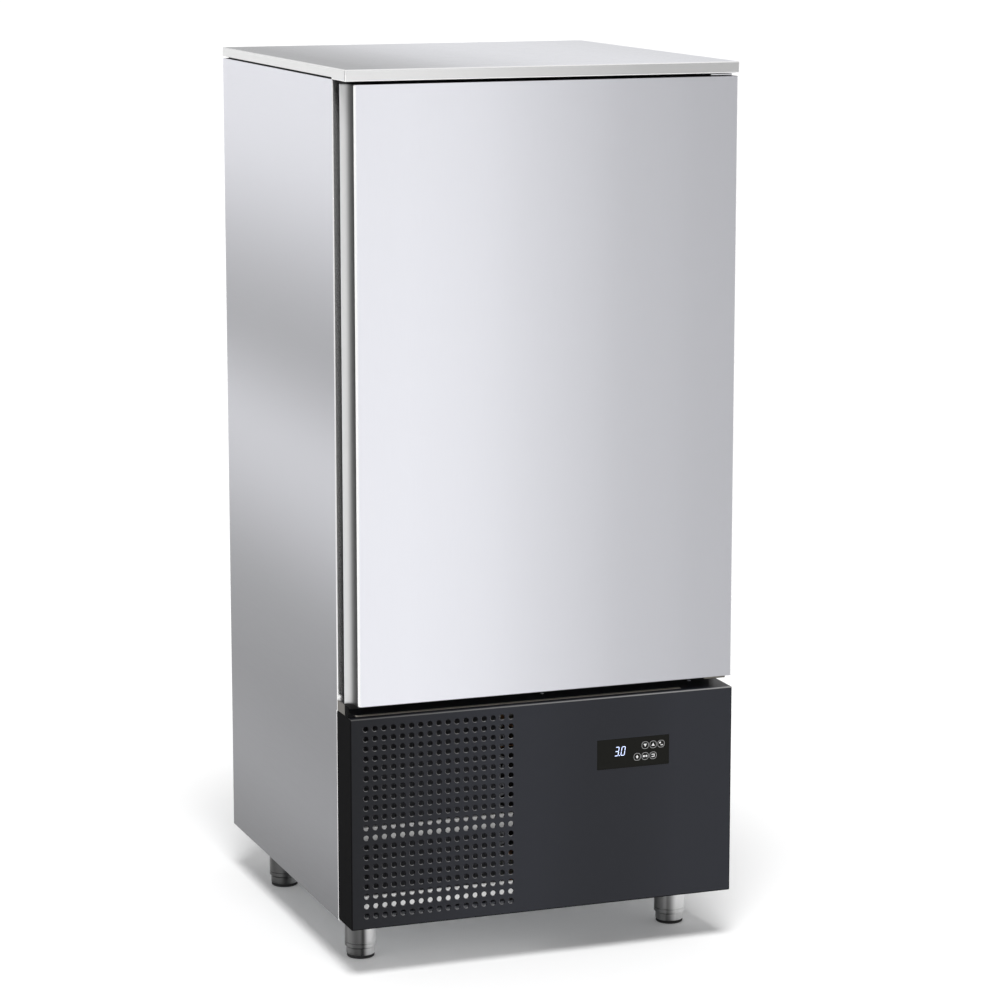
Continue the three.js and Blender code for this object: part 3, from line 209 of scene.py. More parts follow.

# %% [markdown]
# ## One recipe for every finish
# Sheet steel, paint, rubber and moulded plastic differ in colour and gloss, and in how their surface
# varies: brushed steel along its grain, paint as fine orange peel, rubber hardly at all.
# So one function builds the shader. Noise that is stretched along an axis gives the grain, and it
# drives colour, roughness and bump together. Broad bands of light and dark, where a large sheet
# has them, are a ramp along one axis of the piece that is multiplied into its colour: these bands
# are painted reflections and painted shade.

# %% Finishes
def surface(
    name, colour, roughness, metallic=0.0, grain=60, mottle=0.04, rough_change=0.04, bump=0.02,
    bands=None, specular=0.5, coat=0.0,
):
    """A principled material; grain is one scale or three, bands is (axis, low, high, stops), a ramp of
    painted light and shade.
    """
    paint = bpy.data.materials.new(name)
    paint.use_nodes = True
    tree = paint.node_tree
    scale = grain if isinstance(grain, tuple) else (grain, grain, grain)
    place = add_node(tree, "ShaderNodeTexCoord")["Object"]
    stretch = add_node(tree, "ShaderNodeMapping", Vector=place, Scale=scale)
    noise = add_node(
        tree, "ShaderNodeTexNoise", Vector=stretch["Vector"], Scale=1.0, Detail=4.0, Roughness=0.6
    )["Fac"]
    darker = (*[c * (1 - mottle) for c in colour], 1)
    lighter = (*[min(1, c * (1 + mottle)) for c in colour], 1)
    tone = add_node(tree, "ShaderNodeMix", {"data_type": "RGBA"}, Factor=noise, A=darker, B=lighter)["Result"]
    if bands:
        tone = banded(tree, place, tone, *bands)
    smoothest, roughest = roughness - rough_change, roughness + rough_change
    gloss = add_node(tree, "ShaderNodeMapRange", Value=noise, To_Min=smoothest, To_Max=roughest)["Result"]
    relief = add_node(tree, "ShaderNodeBump", Strength=bump, Distance=0.001, Height=noise)["Normal"]
    set_inputs(tree, tree.nodes["Principled BSDF"], {
        "Metallic": metallic, "Specular IOR Level": specular, "Coat Weight": coat, "Coat Roughness": 0.08,
        "Base Color": tone, "Roughness": gloss, "Normal": relief,
    })
    return paint


def banded(tree, place, tone, axis, low, high, stops):
    """Multiplies a tone by a ramp of greys along one axis of the piece: painted light and shade."""
    split = add_node(tree, "ShaderNodeSeparateXYZ", slots={0: place})
    along = add_node(tree, "ShaderNodeMapRange", Value=split[axis], From_Min=low, From_Max=high)["Result"]
    ramp = add_node(tree, "ShaderNodeValToRGB", Fac=along)
    colours = ramp[0].node.color_ramp
    colours.interpolation = "CARDINAL"
    while len(colours.elements) < len(stops):
        colours.elements.new(0.5)
    for element, (share, grey) in zip(colours.elements, stops):
        element.position = share
        element.color = (grey, grey, grey, 1)
    settings = {"data_type": "RGBA", "blend_type": "MULTIPLY"}
    return add_node(tree, "ShaderNodeMix", settings, Factor=1.0, A=tone, B=ramp["Color"])["Result"]


STEEL = (0.80, 0.80, 0.825)
GRAIN_UP = (900, 900, 14)
GRAIN_ACROSS = (14, 14, 900)
TOP = CAD_BOX[1].z
HALF = CAD_BOX[1].x
FRONT = CAD_BOX[0].y

steel = surface("brushed_steel", STEEL, 0.30, 1, GRAIN_UP, 0.03, 0.05, 0.03)
# The door front's colour is painted from light at the left to darker at the right: a painted reflection.
steel_door = surface(
    "brushed_steel_door", (0.85, 0.855, 0.905), 0.30, 1, GRAIN_UP, 0.02, 0.04, 0.02,
    ("X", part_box("door_skin")[0].x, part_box("door_skin")[1].x,
     [(0.0, 1.0), (0.15, 1.0), (0.4, 0.89), (0.65, 0.71), (0.85, 0.62), (1.0, 0.58)]),
)
# The sides' colour is painted in bands, dark near the floor and light at the top: painted reflections of the
# floor and the room.
steel_side = surface(
    "brushed_steel_side", (0.83, 0.835, 0.89), 0.32, 1, GRAIN_ACROSS, 0.03, 0.05, 0.03,
    ("Z", 0.1, TOP, [
        (0.0, 0.165), (0.1, 0.258), (0.25, 0.252), (0.38, 0.39), (0.53, 0.66), (0.68, 0.43),
        (0.85, 0.79), (1.0, 0.96),
    ]),
)
# The worktop's top is painted darker towards its left end: a painted reflection.
steel_top = surface(
    "brushed_steel_top", (0.90, 0.91, 0.965), 0.28, 1, (14, 900, 900), 0.03, 0.05, 0.02,
    ("X", -HALF, HALF, [(0.0, 0.33), (0.1, 0.40), (0.3, 0.73), (0.5, 0.95), (0.75, 1.0), (1.0, 0.92)]),
)
# The worktop's folded-down rim is painted from light at the left to darker at the right: a painted
# reflection.
steel_rim = surface(
    "brushed_steel_rim", (1.0, 1.0, 1.0), 0.30, 0.85, (14, 900, 900), 0.02, 0.04, 0.02,
    ("X", -HALF, HALF, [(0.0, 0.84), (0.3, 0.76), (0.7, 0.56), (1.0, 0.52)]),
)
# A smoother, brighter steel for folds and thin bands beside them: its brighter colour is a painted highlight.
polished_fold = surface("polished_fold", (1.0, 1.0, 1.0), 0.16, 0.8, GRAIN_UP, 0.01, 0.03, 0.01)
galvanised = surface("galvanised_sheet", (0.62, 0.64, 0.66), 0.42, 1, 45, 0.16, 0.1, 0.06)
# The cover's coat is painted darker at its far left and brighter at its right end: painted light and shade.
black_coat = surface(
    "black_powder_coat", (0.021, 0.0225, 0.029), 0.42, 0, 700, 0.1, 0.03, 0.05,
    ("X", -HALF, HALF, [(0.0, 0.42), (0.4, 1.0), (0.65, 0.8), (0.85, 1.0), (1.0, 1.5)]), specular=0.22,
)
# A darker, nearly unglossy copy of the coat for the cover's sides and all but its upper folds, the holes'
# walls and the corner plate's front: painted shade.
black_coat_side = surface(
    "black_coat_side", (0.008, 0.008, 0.0085), 0.6, 0, 700, 0.1, 0.03, 0.05, specular=0.006
)
black_plastic = surface("black_plastic", (0.018, 0.018, 0.02), 0.5, 0, 300, 0.1, 0.05, 0.05)
grey_plastic = surface("grey_plastic", (0.07, 0.07, 0.078), 0.5, 0, 300, 0.08, 0.05, 0.05)
display_glass = surface("display_glass", (0.006, 0.006, 0.0045), 0.10, 0, 80, 0.05, 0.02, 0.0, specular=0.12)
rubber = surface("gasket_rubber", (0.02, 0.02, 0.021), 0.7, 0, 250, 0.12, 0.05, 0.06)
foam = surface("insulation_foam", (0.80, 0.68, 0.40), 0.85, 0, 160, 0.12, 0.05, 0.3)
aluminium = surface("aluminium", (0.80, 0.81, 0.82), 0.34, 1, 120, 0.06, 0.06, 0.03)
copper = surface("copper", (0.80, 0.42, 0.26), 0.28, 1, 50, 0.12, 0.1, 0.02)
enamel = surface("black_enamel", (0.015, 0.015, 0.017), 0.22, 0, 200, 0.1, 0.05, 0.04, coat=0.3)
pale_plastic = surface("pale_plastic", (0.66, 0.67, 0.64), 0.55, 0, 200, 0.04, 0.05, 0.03)
# A dark tan-grey steel for the corner plate in the gap under the door: its darkness is painted shade.
worn_plate = surface("worn_plate", (0.17, 0.16, 0.145), 0.5, 1, (90, 90, 200), 0.25, 0.1, 0.1)

# %% [markdown]
# ## Small tools for meshes
# A solid comes in as loose triangles. A copy whose doubles are merged and whose flat triangles are
# dissolved has the faces a maker would draw, so its edges can be picked and rounded.
# Sheet metal is folded, not cut from a block: every outer edge has a small radius that catches the
# light as a bright line.

# %% Mesh tools
MERGE = 2e-6
NEW_FACE = 30
SHARP = 35
NEAR = 1e-5
HAIR = 1e-6


def make_piece(name, form, *paints):
    """Turns a bmesh into a named object with its materials."""
    mesh = bpy.data.meshes.new(name)
    bmesh.ops.recalc_face_normals(form, faces=form.faces)
    form.to_mesh(mesh)
    form.free()
    piece = new_object(name, mesh)
    for paint in paints:
        mesh.materials.append(paint)
    return piece


def solid_form(node):
    """The node's solid as a clean bmesh with large faces."""
    form = bmesh.new()
    form.from_mesh(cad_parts[node].data)
    bmesh.ops.remove_doubles(form, verts=form.verts, dist=MERGE)
    bmesh.ops.dissolve_limit(form, angle_limit=math.radians(0.5), verts=form.verts, edges=form.edges)
    for face in form.faces:
        face.smooth = False
        face.material_index = 0
    return form


def round_edges(form, radius, pick=None, segments=3, corner=40, paint_index=-1):
    """Rounds the sharp edges, or those that pick(edge) chooses."""
    chosen = [
        edge for edge in form.edges
        if len(edge.link_faces) == 2
        and edge.calc_face_angle(0) > math.radians(corner)
        and (pick is None or pick(edge))
    ]
    bmesh.ops.bevel(
        form, geom=chosen, offset=radius, offset_type="OFFSET", segments=segments, profile=0.5,
        affect="EDGES", clamp_overlap=True, material=NEW_FACE,
    )
    for face in form.faces:
        if face.material_index == NEW_FACE:
            face.smooth = True
            face.material_index = max(paint_index, 0)
    return form


def dress(node, name, body, slot, radius, paint, pick=None):
    """Replaces a node by a copy with rounded edges."""
    form = round_edges(solid_form(node), radius, pick, 2)
    return add_piece(name, form, paint, slot, node, body=body)


def block(form, centre, size):
    """Adds a box by its centre and its size."""
    bmesh.ops.create_cube(form, size=1.0, matrix=Matrix.Translation(centre) @ Matrix.Diagonal((*size, 1)))


def box_piece(name, centre, size, radius, segments, paint, slot, *nodes, pick=None):
    """A box with rounded edges that belongs to the cabinet."""
    form = bmesh.new()
    block(form, centre, size)
    round_edges(form, radius, pick, segments)
    return add_piece(name, form, paint, slot, *nodes)


def bisect(form, spot, normal):
    """Draws a line round a form where a plane meets it."""
    everything = form.verts[:] + form.edges[:] + form.faces[:]
    bmesh.ops.bisect_plane(form, geom=everything, dist=HAIR, plane_co=spot, plane_no=normal)


def join_rings(form, rings, smooth=True, capped=True):
    """Faces between rings of as many points, one after another."""
    for a, b in zip(rings, rings[1:]):
        for i in range(len(a)):
            j = (i + 1) % len(a)
            form.faces.new((a[i], a[j], b[j], b[i])).smooth = smooth
    if capped:
        form.faces.new(reversed(rings[0]))
        form.faces.new(rings[-1])


def extrude(form, outline, start, end, axis=0):
    """Adds a closed solid: an outline of pairs carried along X (axis 0) or Y (axis 1)."""
    near, far = [
        [form.verts.new((pair[0], along, pair[1]) if axis else (along, *pair)) for pair in outline]
        for along in (start, end)
    ]
    form.faces.new(near)
    form.faces.new(reversed(far))
    for i in range(len(outline)):
        j = (i + 1) % len(outline)
        form.faces.new((near[i], far[i], far[j], near[j]))


def prism(form, points, low, high):
    """Adds a closed plan (x, y) drawn up from low to high."""
    bottom = [form.verts.new((x, y, low)) for x, y in points]
    top = [form.verts.new((x, y, high)) for x, y in points]
    form.faces.new(reversed(bottom))
    form.faces.new(top)
    sides = []
    for i in range(len(points)):
        j = (i + 1) % len(points)
        sides.append(form.faces.new((bottom[i], bottom[j], top[j], top[i])))
    return sides


def arc(cx, cy, radius, start, end, steps):
    """Points on an arc between two angles in degrees."""
    for i in range(steps + 1):
        angle = math.radians(start + (end - start) * i / steps)
        yield cx + radius * math.cos(angle), cy + radius * math.sin(angle)


def quarter(x, z, reach, rise, angles=range(0, 91, 15)):
    """A quarter of an oval, from its top or bottom to its side."""
    return [(x + reach * math.sin(math.radians(a)), z + rise * math.cos(math.radians(a))) for a in angles]


def turned(form, profile, place, sides=64, axis="Z"):
    """Adds a turned piece; the profile is [(radius, height), ...], closed on its axis or itself."""
    turn = {"Z": Matrix.Identity(3), "Y": Matrix.Rotation(math.radians(-90), 3, "X")}[axis]
    rings = []
    for radius, height in profile:
        if radius == 0:
            rings.append([form.verts.new(Vector(place) + turn @ Vector((0, 0, height)))])
            continue
        ring = []
        for i in range(sides):
            angle = 2 * math.pi * i / sides
            spot = Vector((radius * math.cos(angle), radius * math.sin(angle), height))
            ring.append(form.verts.new(Vector(place) + turn @ spot))
        rings.append(ring)
    closed = profile[0][0] != 0
    pairs = list(zip(rings, rings[1:])) + ([(rings[-1], rings[0])] if closed else [])
    for low, high in pairs:
        for i in range(sides):
            j = (i + 1) % sides
            if len(low) == 1 and len(high) == 1:
                continue
            if len(low) == 1:
                form.faces.new((low[0], high[j], high[i])).smooth = True
            elif len(high) == 1:
                form.faces.new((low[i], low[j], high[0])).smooth = True
            else:
                form.faces.new((low[i], low[j], high[j], high[i])).smooth = True
    return form


def sharpen(piece, angle=SHARP):
    """Smooth shading, with creases where faces meet at more than the angle."""
    piece.data.shade_smooth()
    piece.data.set_sharp_from_angle(angle=math.radians(angle))
    return piece


def place_piece(piece, body, slot, *nodes):
    """Attaches a piece to its body and hides the solids that it stands for; the slot is not used."""
    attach(piece, body)
    if nodes:
        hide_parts(*nodes)
    return piece


def add_piece(name, form, paint, slot, *nodes, body="cabinet", angle=None):
    """A piece with one finish; with an angle, its sharp edges are kept and the rest is smooth."""
    piece = make_piece(name, form, paint)
    if angle:
        sharpen(piece, angle)
    return place_piece(piece, body, slot, *nodes)


# %% [markdown]
# ## Worktop
# The worktop is one pressed sheet: flat on top, folded down all round, with a deeper fold at the
# front that closes over the door. Its folds are where the studio light shows as white lines, so the
# outer edges get a 2 mm radius in a smoother steel whose brighter colour is a painted highlight. The
# top and the folded-down rim are painted lighter and darker from left to right as reflections. Where
# the side's fold meets the front's, a fine dark seam stays open.

# %% Worktop
FOLD = 0.0018
SEAM = (FRONT + 0.0022, FRONT + 0.0040)
seam_dark = surface("seam_dark", (0.02, 0.02, 0.02), 0.6, 0, 300, 0.1, 0.05, 0.02)


def on_outside(edge, box):
    """Whether an edge lies on two outer planes of a box."""
    low, high = box
    count = 0
    for axis in range(3):
        for limit in (low[axis], high[axis]):
            if all(abs(v.co[axis] - limit) < NEAR for v in edge.verts):
                count += 1
    return count >= 2


def make_worktop():
    form = solid_form("worktop")
    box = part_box("worktop")
    # The outer folds are rounded and take the brighter fold steel: a painted highlight.
    round_edges(form, FOLD, lambda edge: on_outside(edge, box), 4, paint_index=1)
    for y in SEAM:
        bisect(form, (0, y, 0), (0, 1, 0))
    # The rim's faces take the rim steel, whose ramp is a painted reflection; the seam's faces stay dark.
    for face in form.faces:
        if face.material_index == 0 and abs(face.normal.z) < 0.5:
            spot = face.calc_center_median()
            in_seam = SEAM[0] < spot.y < SEAM[1] and abs(spot.x) > HALF - 1e-4
            face.material_index = 3 if in_seam else 2
    piece = make_piece("worktop_sheet", form, steel_top, polished_fold, steel_rim, seam_dark)
    return place_piece(piece, "cabinet", "stainless", "worktop")


worktop = make_worktop()
print("worktop faces:", len(worktop.data.polygons))

# %% [markdown]
# ## Geometry Nodes, one small tree at a time
# Holes, louvres, fins, rails and screws are one shape repeated, and a maker stamps or strings them in
# rows. A node tree says that once: a line of points for the columns, a line for the rows, and a copy
# of the shape on every point. A small class keeps the trees short to write. Each tree's sizes are
# named inputs, and its result becomes a plain mesh.

# %% A helper for trees
SOCKET_KINDS = {
    int: "NodeSocketInt",
    float: "NodeSocketFloat",
    tuple: "NodeSocketVector",
    bpy.types.Material: "NodeSocketMaterial",
    bpy.types.Object: "NodeSocketObject",
}


class Tree:
    """A geometry node tree with named inputs."""

    def __init__(self, name, **inputs):
        self.tree = bpy.data.node_groups.new(name, "GeometryNodeTree")
        self.labels = {}
        face = self.tree.interface
        face.new_socket(name="Geometry", in_out="INPUT", socket_type="NodeSocketGeometry")
        for label, value in inputs.items():
            item = face.new_socket(name=label, in_out="INPUT", socket_type=SOCKET_KINDS[type(value)])
            self.labels[label] = item.identifier
        face.new_socket(name="Geometry", in_out="OUTPUT", socket_type="NodeSocketGeometry")
        self.inputs = self.tree.nodes.new("NodeGroupInput").outputs
        self.values = inputs

    def add(self, kind, settings=None, slots=None, **inputs):
        return add_node(self.tree, kind, settings, slots, **inputs)

    def compute(self, operation, *values):
        return self.add("ShaderNodeMath", {"operation": operation}, dict(enumerate(values)))[0]

    def join(self, *parts):
        joined = self.add("GeometryNodeJoinGeometry")[0]
        for part in parts:
            self.tree.links.new(part, joined.node.inputs[0])
        return joined

    def grid(self):
        """Points in rows and columns, the first at the origin."""
        mode = {"mode": "OFFSET", "count_mode": "TOTAL"}
        across, up = [
            self.add("GeometryNodeMeshLine", mode, Count=self.inputs[count], Offset=self.inputs[step])[0]
            for count, step in (("Columns", "ColumnStep"), ("Rows", "RowStep"))
        ]
        placed = self.add("GeometryNodeInstanceOnPoints", Points=up, Instance=across)
        return self.add("GeometryNodeRealizeInstances", Geometry=placed[0])[0]

    def punches(self, shape):
        """A shape on every point of the grid, from the input First onwards."""
        placed = self.add("GeometryNodeTransform", Geometry=self.grid(), Translation=self.inputs["First"])
        copies = self.add("GeometryNodeInstanceOnPoints", Points=placed[0], Instance=shape)
        return self.add("GeometryNodeRealizeInstances", Geometry=copies[0])[0]

    def cut(self, cutter):
        """The piece less the cutter."""
        return self.add(
            "GeometryNodeMeshBoolean", {"operation": "DIFFERENCE", "solver": "EXACT"},
            {"Mesh 1": self.inputs["Geometry"], "Mesh 2": cutter},
        )[0]

    def finish(self, geometry, material=None):
        """Realizes the copies, gives them their material and ends the tree."""
        result = self.add("GeometryNodeRealizeInstances", Geometry=geometry)[0]
        if material is not None:
            result = self.add("GeometryNodeSetMaterial", Geometry=result, Material=material)[0]
        self.tree.links.new(result, self.tree.nodes.new("NodeGroupOutput").inputs[0])
        return self

    def run(self, piece):
        """Runs the tree on a piece and keeps the result as its mesh."""
        modifier = piece.modifiers.new("repeat", "NODES")
        modifier.node_group = self.tree
        for label, identifier in self.labels.items():
            modifier[identifier] = self.values[label]
        return applied(piece)


def applied(piece):
    """Turns a piece with live modifiers into a plain mesh."""
    bpy.context.view_layer.update()
    graph = bpy.context.evaluated_depsgraph_get()
    mesh = bpy.data.meshes.new_from_object(piece.evaluated_get(graph), depsgraph=graph)
    mesh.name = piece.name
    piece.modifiers.clear()
    piece.data = mesh
    return piece


def thicken(piece, thickness, even=False):
    """Gives a sheet its thickness, behind its faces."""
    walls = piece.modifiers.new("walls", "SOLIDIFY")
    walls.thickness = thickness
    walls.offset = -1
    walls.use_even_offset = even
    return applied(piece)


def repeated(piece, columns, column_step, paint, rows=1, row_step=(0.0, 0.0, 0.0)):
    """Repeats a piece in columns and rows from where it lies."""
    tree = Tree(
        "repeat_in_rows", Columns=columns, Rows=rows, ColumnStep=column_step, RowStep=row_step, Paint=paint
    )
    copies = tree.add("GeometryNodeInstanceOnPoints", Points=tree.grid(), Instance=tree.inputs["Geometry"])
    return tree.finish(copies[0], tree.inputs["Paint"]).run(piece)


# %% [markdown]
# ## Screws
# Pan heads with a cross recess hold the covers. One head is turned and its cross is pressed in; a
# tree then sets a copy on each vertex of a small mesh of places, turned to face the way that the
# place faces.

# %% Screws
def screw_head(radius, height, paint):
    """A pan head at the origin with its top facing +Z."""
    form = bmesh.new()
    profile = [(0, -0.2 * height), (radius, -0.2 * height), (radius, 0.35 * height)]
    profile += [
        (radius * math.cos(math.radians(a)), height * (0.35 + 0.65 * math.sin(math.radians(a))))
        for a in (25, 50, 70)
    ]
    profile.append((0, height))
    turned(form, profile, (0, 0, 0), 20)
    head = make_piece("screw_head", form, paint)
    slot_form = bmesh.new()
    for turn in (0, 90):
        bar = bmesh.ops.create_cube(slot_form, size=1.0)["verts"]
        size = Matrix.Diagonal((radius * 1.15, radius * 0.26, height, 1))
        bmesh.ops.transform(slot_form, matrix=Matrix.Rotation(math.radians(turn), 4, "Z") @ size, verts=bar)
        bmesh.ops.translate(slot_form, vec=(0, 0, height * 1.05), verts=bar)
    cross = make_piece("screw_cross", slot_form, paint)
    cutter = head.modifiers.new("cross", "BOOLEAN")
    cutter.object = cross
    cutter.solver = "EXACT"
    cutter.use_self = True
    applied(head)
    bpy.data.objects.remove(cross)
    return head


def screws(name, places, facing, radius, height=0.0022):
    """One piece with a steel screw at each place, all facing one way."""
    unit = screw_head(radius, height, steel)
    mesh = bpy.data.meshes.new(name)
    mesh.from_pydata([tuple(place) for place in places], [], [])
    piece = new_object(name, mesh)
    turn = Vector((0, 0, 1)).rotation_difference(Vector(facing)).to_euler()
    tree = Tree("screws_on_places", Head=unit, Turn=tuple(turn), Paint=steel)
    head = tree.add("GeometryNodeObjectInfo", Object=tree.inputs["Head"])
    copies = tree.add(
        "GeometryNodeInstanceOnPoints", Points=tree.inputs["Geometry"], Instance=head["Geometry"],
        Rotation=tree.inputs["Turn"],
    )
    tree.finish(copies[0], tree.inputs["Paint"]).run(piece)
    bpy.data.objects.remove(unit)
    return place_piece(piece, "cabinet", "stainless")


# %% [markdown]
# ## Side panels
# Each side is one sheet whose front edge is folded in towards the door. The bend is drawn as an arc,
# inside and outside, and painted in the brighter fold steel; below the cover's top, a 6 mm strip of
# the outer face beside the bend is painted the same. These painted highlights make the corner show a
# fine bright line down its whole height.

# %% Side panels
SHEET = 0.0015
BEND = 0.0022
RETURN = 0.014
COVER_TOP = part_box("lower_panel")[1].z
GLINT = 0.006


def make_side_panel(name, sign):
    low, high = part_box(name)
    outer = high.x if sign > 0 else low.x
    front, rear = low.y, high.y
    end = outer - sign * RETURN

    def fold(radius, start, stop):
        """The bend's arc, on the side where the panel stands."""
        return [
            (outer - sign * BEND + sign * x, y)
            for x, y in arc(0, front + BEND, radius, start, stop, 6)
        ]

    plan = [(end, front + SHEET), (end, front), *fold(BEND, -90, 0)]
    plan += [(outer, rear), (outer - sign * SHEET, rear), *fold(BEND - SHEET, 0, -90)]
    form = bmesh.new()
    sides = prism(form, plan, low.z, high.z)
    # The bend's faces take the brighter fold steel: a painted highlight.
    for i, side in enumerate(sides):
        side.smooth = 1 <= i <= 7 or 10 <= i <= 16
        side.material_index = 1 if 1 <= i <= 7 else 0
    # Below the cover's top, a strip of the outer face beside the bend is painted in the fold steel too: a
    # painted highlight.
    bisect(form, (0, 0, COVER_TOP), (0, 0, 1))
    bisect(form, (0, front + GLINT, 0), (0, 1, 0))
    for face in form.faces:
        spot = face.calc_center_median()
        if abs(spot.x - outer) < NEAR and spot.z < COVER_TOP and spot.y < front + GLINT:
            face.material_index = 1
    piece = make_piece(name + "_sheet", form, steel_side, polished_fold)
    return place_piece(piece, "cabinet", "stainless", name)


for side_name, side_sign in (("side_panel_left", -1), ("side_panel_right", 1)):
    make_side_panel(side_name, side_sign)

# %% [markdown]
# ## Perforated cover
# The lower cover is a folded, powder-coated tray that hooks over the machine compartment. Its left
# half is punched with rows of round holes for the condenser's air, and a window takes the display.
# A boolean punches the sheet as a press would: a tree lays out one round punch in rows and columns,
# adds the window's block, and cuts them all at once. The punch is a little wider at the face and
# brings its own materials: each hole's lower-left lip is painted pale as a highlight, and the rest of
# the hole is painted darker than the coat as shade. The coat itself is painted darker at the far left
# and brighter at the right, its sides darker as shade, and its upper fold pale as a highlight. A strip
# of foam seals the cover's upper flange.

# %% Perforated cover
HOLE_RADIUS = 0.005
HOLE_COLUMNS = 17
HOLE_ROWS = 20
COLUMN_PITCH = 0.0184
ROW_PITCH = 0.0194
HOLE_FROM_SIDE = 0.0307
HOLE_FROM_TOP = 0.021
COVER_BEND = 0.0022
HOLE_CHAMFER = 0.0008
WINDOW = (0.1096, 0.2611, 0.3715, 0.4305)
WINDOW_GAP = 0.0003

# A paler colour for the lower-left lip of each hole: a painted highlight.
punched_edge = surface("punched_edge", (0.20, 0.20, 0.205), 0.4, 0.3, 400, 0.1, 0.05, 0.02)
# The cover's upper fold is painted far paler than the coat, and paler towards the right: a painted highlight.
cover_fold_highlight = surface(
    "powder_coat_edge", (0.24, 0.24, 0.24), 0.35, 0, 300, 0.1, 0.05, 0.02,
    ("X", -HALF, HALF, [(0.0, 0.25), (0.4, 0.55), (1.0, 1.0)]),
)
seal_foam = surface("seal_foam", (0.44, 0.41, 0.36), 0.8, 0, 300, 0.15, 0.05, 0.1)


def open_tray(low, high, bend, name, *paints):
    """A folded tray, open at the rear, as an outer skin with rounded corners."""
    form = bmesh.new()
    block(form, (low + high) / 2, high - low)
    rear = [face for face in form.faces if face.calc_center_median().y > high.y - HAIR]
    bmesh.ops.delete(form, geom=rear, context="FACES_ONLY")
    round_edges(form, bend, None, 4, paint_index=1)
    # The upper folds keep the paler fold coat, a painted highlight; the other bends and the side faces take
    # the darker coat, painted shade.
    for face in form.faces:
        spot = face.calc_center_median()
        upper = spot.z > high.z - bend and abs(face.normal.x) < 0.3
        if face.material_index == 1 and not upper or abs(face.normal.x) > 0.9:
            face.material_index = 2
    return thicken(make_piece(name, form, *paints), SHEET, even=True)


def make_cover():
    low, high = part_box("lower_panel")
    piece = open_tray(low, high, COVER_BEND, "perforated_cover", black_coat, cover_fold_highlight, black_coat_side)
    form = bmesh.new()
    wide = HOLE_RADIUS + HOLE_CHAMFER + 0.002
    profile = [(0, -0.002), (wide, -0.002), (HOLE_RADIUS, HOLE_CHAMFER), (HOLE_RADIUS, 0.006), (0, 0.006)]
    turned(form, profile, (0, 0, 0), 20, "Y")
    # Punch faces at the lower left take the paler lip colour, a painted highlight; the rest take the darker
    # coat, painted shade.
    for face in form.faces:
        face.smooth = False
        spot = face.calc_center_median()
        face.material_index = 1 if spot.x * 0.6 + spot.z * 0.8 < -0.2 * HOLE_RADIUS else 0
    punch_shape = make_piece("round_punch", form, black_coat_side, punched_edge)
    first = (low.x + HOLE_FROM_SIDE, low.y, high.z - HOLE_FROM_TOP)
    centre = ((WINDOW[0] + WINDOW[1]) / 2, low.y, (WINDOW[2] + WINDOW[3]) / 2)
    size = (WINDOW[1] - WINDOW[0] + 2 * WINDOW_GAP, 0.01, WINDOW[3] - WINDOW[2] + 2 * WINDOW_GAP)
    tree = Tree(
        "punch_cover", Columns=HOLE_COLUMNS, Rows=HOLE_ROWS, ColumnStep=(COLUMN_PITCH, 0.0, 0.0),
        RowStep=(0.0, 0.0, -ROW_PITCH), First=first, Punch=punch_shape, Window=size, WindowPlace=centre,
    )
    given = tree.inputs
    punch = tree.add("GeometryNodeObjectInfo", Object=given["Punch"])
    window = tree.add("GeometryNodeMeshCube", Size=given["Window"])
    placed = tree.add("GeometryNodeTransform", Geometry=window[0], Translation=given["WindowPlace"])
    tree.finish(tree.cut(tree.join(tree.punches(punch["Geometry"]), placed[0]))).run(piece)
    bpy.data.objects.remove(punch_shape)
    print("cover:", HOLE_COLUMNS * HOLE_ROWS, "holes,", len(piece.data.polygons), "faces")
    return place_piece(piece, "cabinet", "black_sheet", "lower_panel")


make_cover()


SEAL_CENTRE = (-0.042, -0.3885, COVER_TOP + 0.0009)
box_piece("cover_seal", SEAL_CENTRE, (0.67, 0.009, 0.0014), 0.0005, 2, seal_foam, "gasket_rubber")

# %% [markdown]
# ## Display and keys
# The display is a black glass front with its figures lit from behind: two numerals and a point in
# the slanted seven-segment form. Each segment is a bar with pointed ends, so one function draws it,
# and a table of strokes says which ones a numeral lights. The six keys are plain rounded caps with
# a printed ring and a simple sign each. The print lies a hair under the frontmost plane.

# %% Display and keys
FIGURE_HEIGHT = 0.0172
FIGURE_WIDTH = 0.0070
FIGURE_SLANT = 0.16
STROKE = 0.0015
PRINT_SETBACK = 0.0002
PRINT_PLANE = FRONT + 0.00008
PRINT_DEPTH = 0.00006
FIGURES = {"3": "abcdg", "0": "abcdef"}
FIGURE_PLACES = (("3", 0.1462), ("0", 0.1592))
FIGURE_BASE = 0.3968
POINT_X, POINT_Z, POINT_RADIUS = 0.1562, 0.3970, 0.0011
KEY_RING = ((0.0150, 0.0062), (0.0128, 0.0051))

lit = bpy.data.materials.new("lit_segment")
lit.use_nodes = True
set_inputs(lit.node_tree, lit.node_tree.nodes["Principled BSDF"], {
    "Base Color": (0.6, 0.7, 1.0, 1), "Emission Color": (0.60, 0.68, 1.0, 1), "Emission Strength": 0.9,
})
print_grey = surface("printed_ring", (0.30, 0.30, 0.30), 0.5, 0, 200, 0.05, 0.02, 0.0)
print_white = surface("printed_sign", (0.85, 0.85, 0.85), 0.5, 0, 200, 0.05, 0.02, 0.0)


def plate(form, outline):
    """Adds a thin closed plate of print from a front view (x, z)."""
    extrude(form, outline, PRINT_PLANE, PRINT_PLANE + PRINT_DEPTH, 1)


def bar(start, end, width):
    """A stroke with pointed ends between two points."""
    a, b = Vector(start), Vector(end)
    along = (b - a).normalized() * width / 2
    side = Vector((-along.y, along.x))
    gap = along * 0.35
    a, b = a + gap, b - gap
    return [a, a + along + side, b - along + side, b, b - along - side, a + along - side]


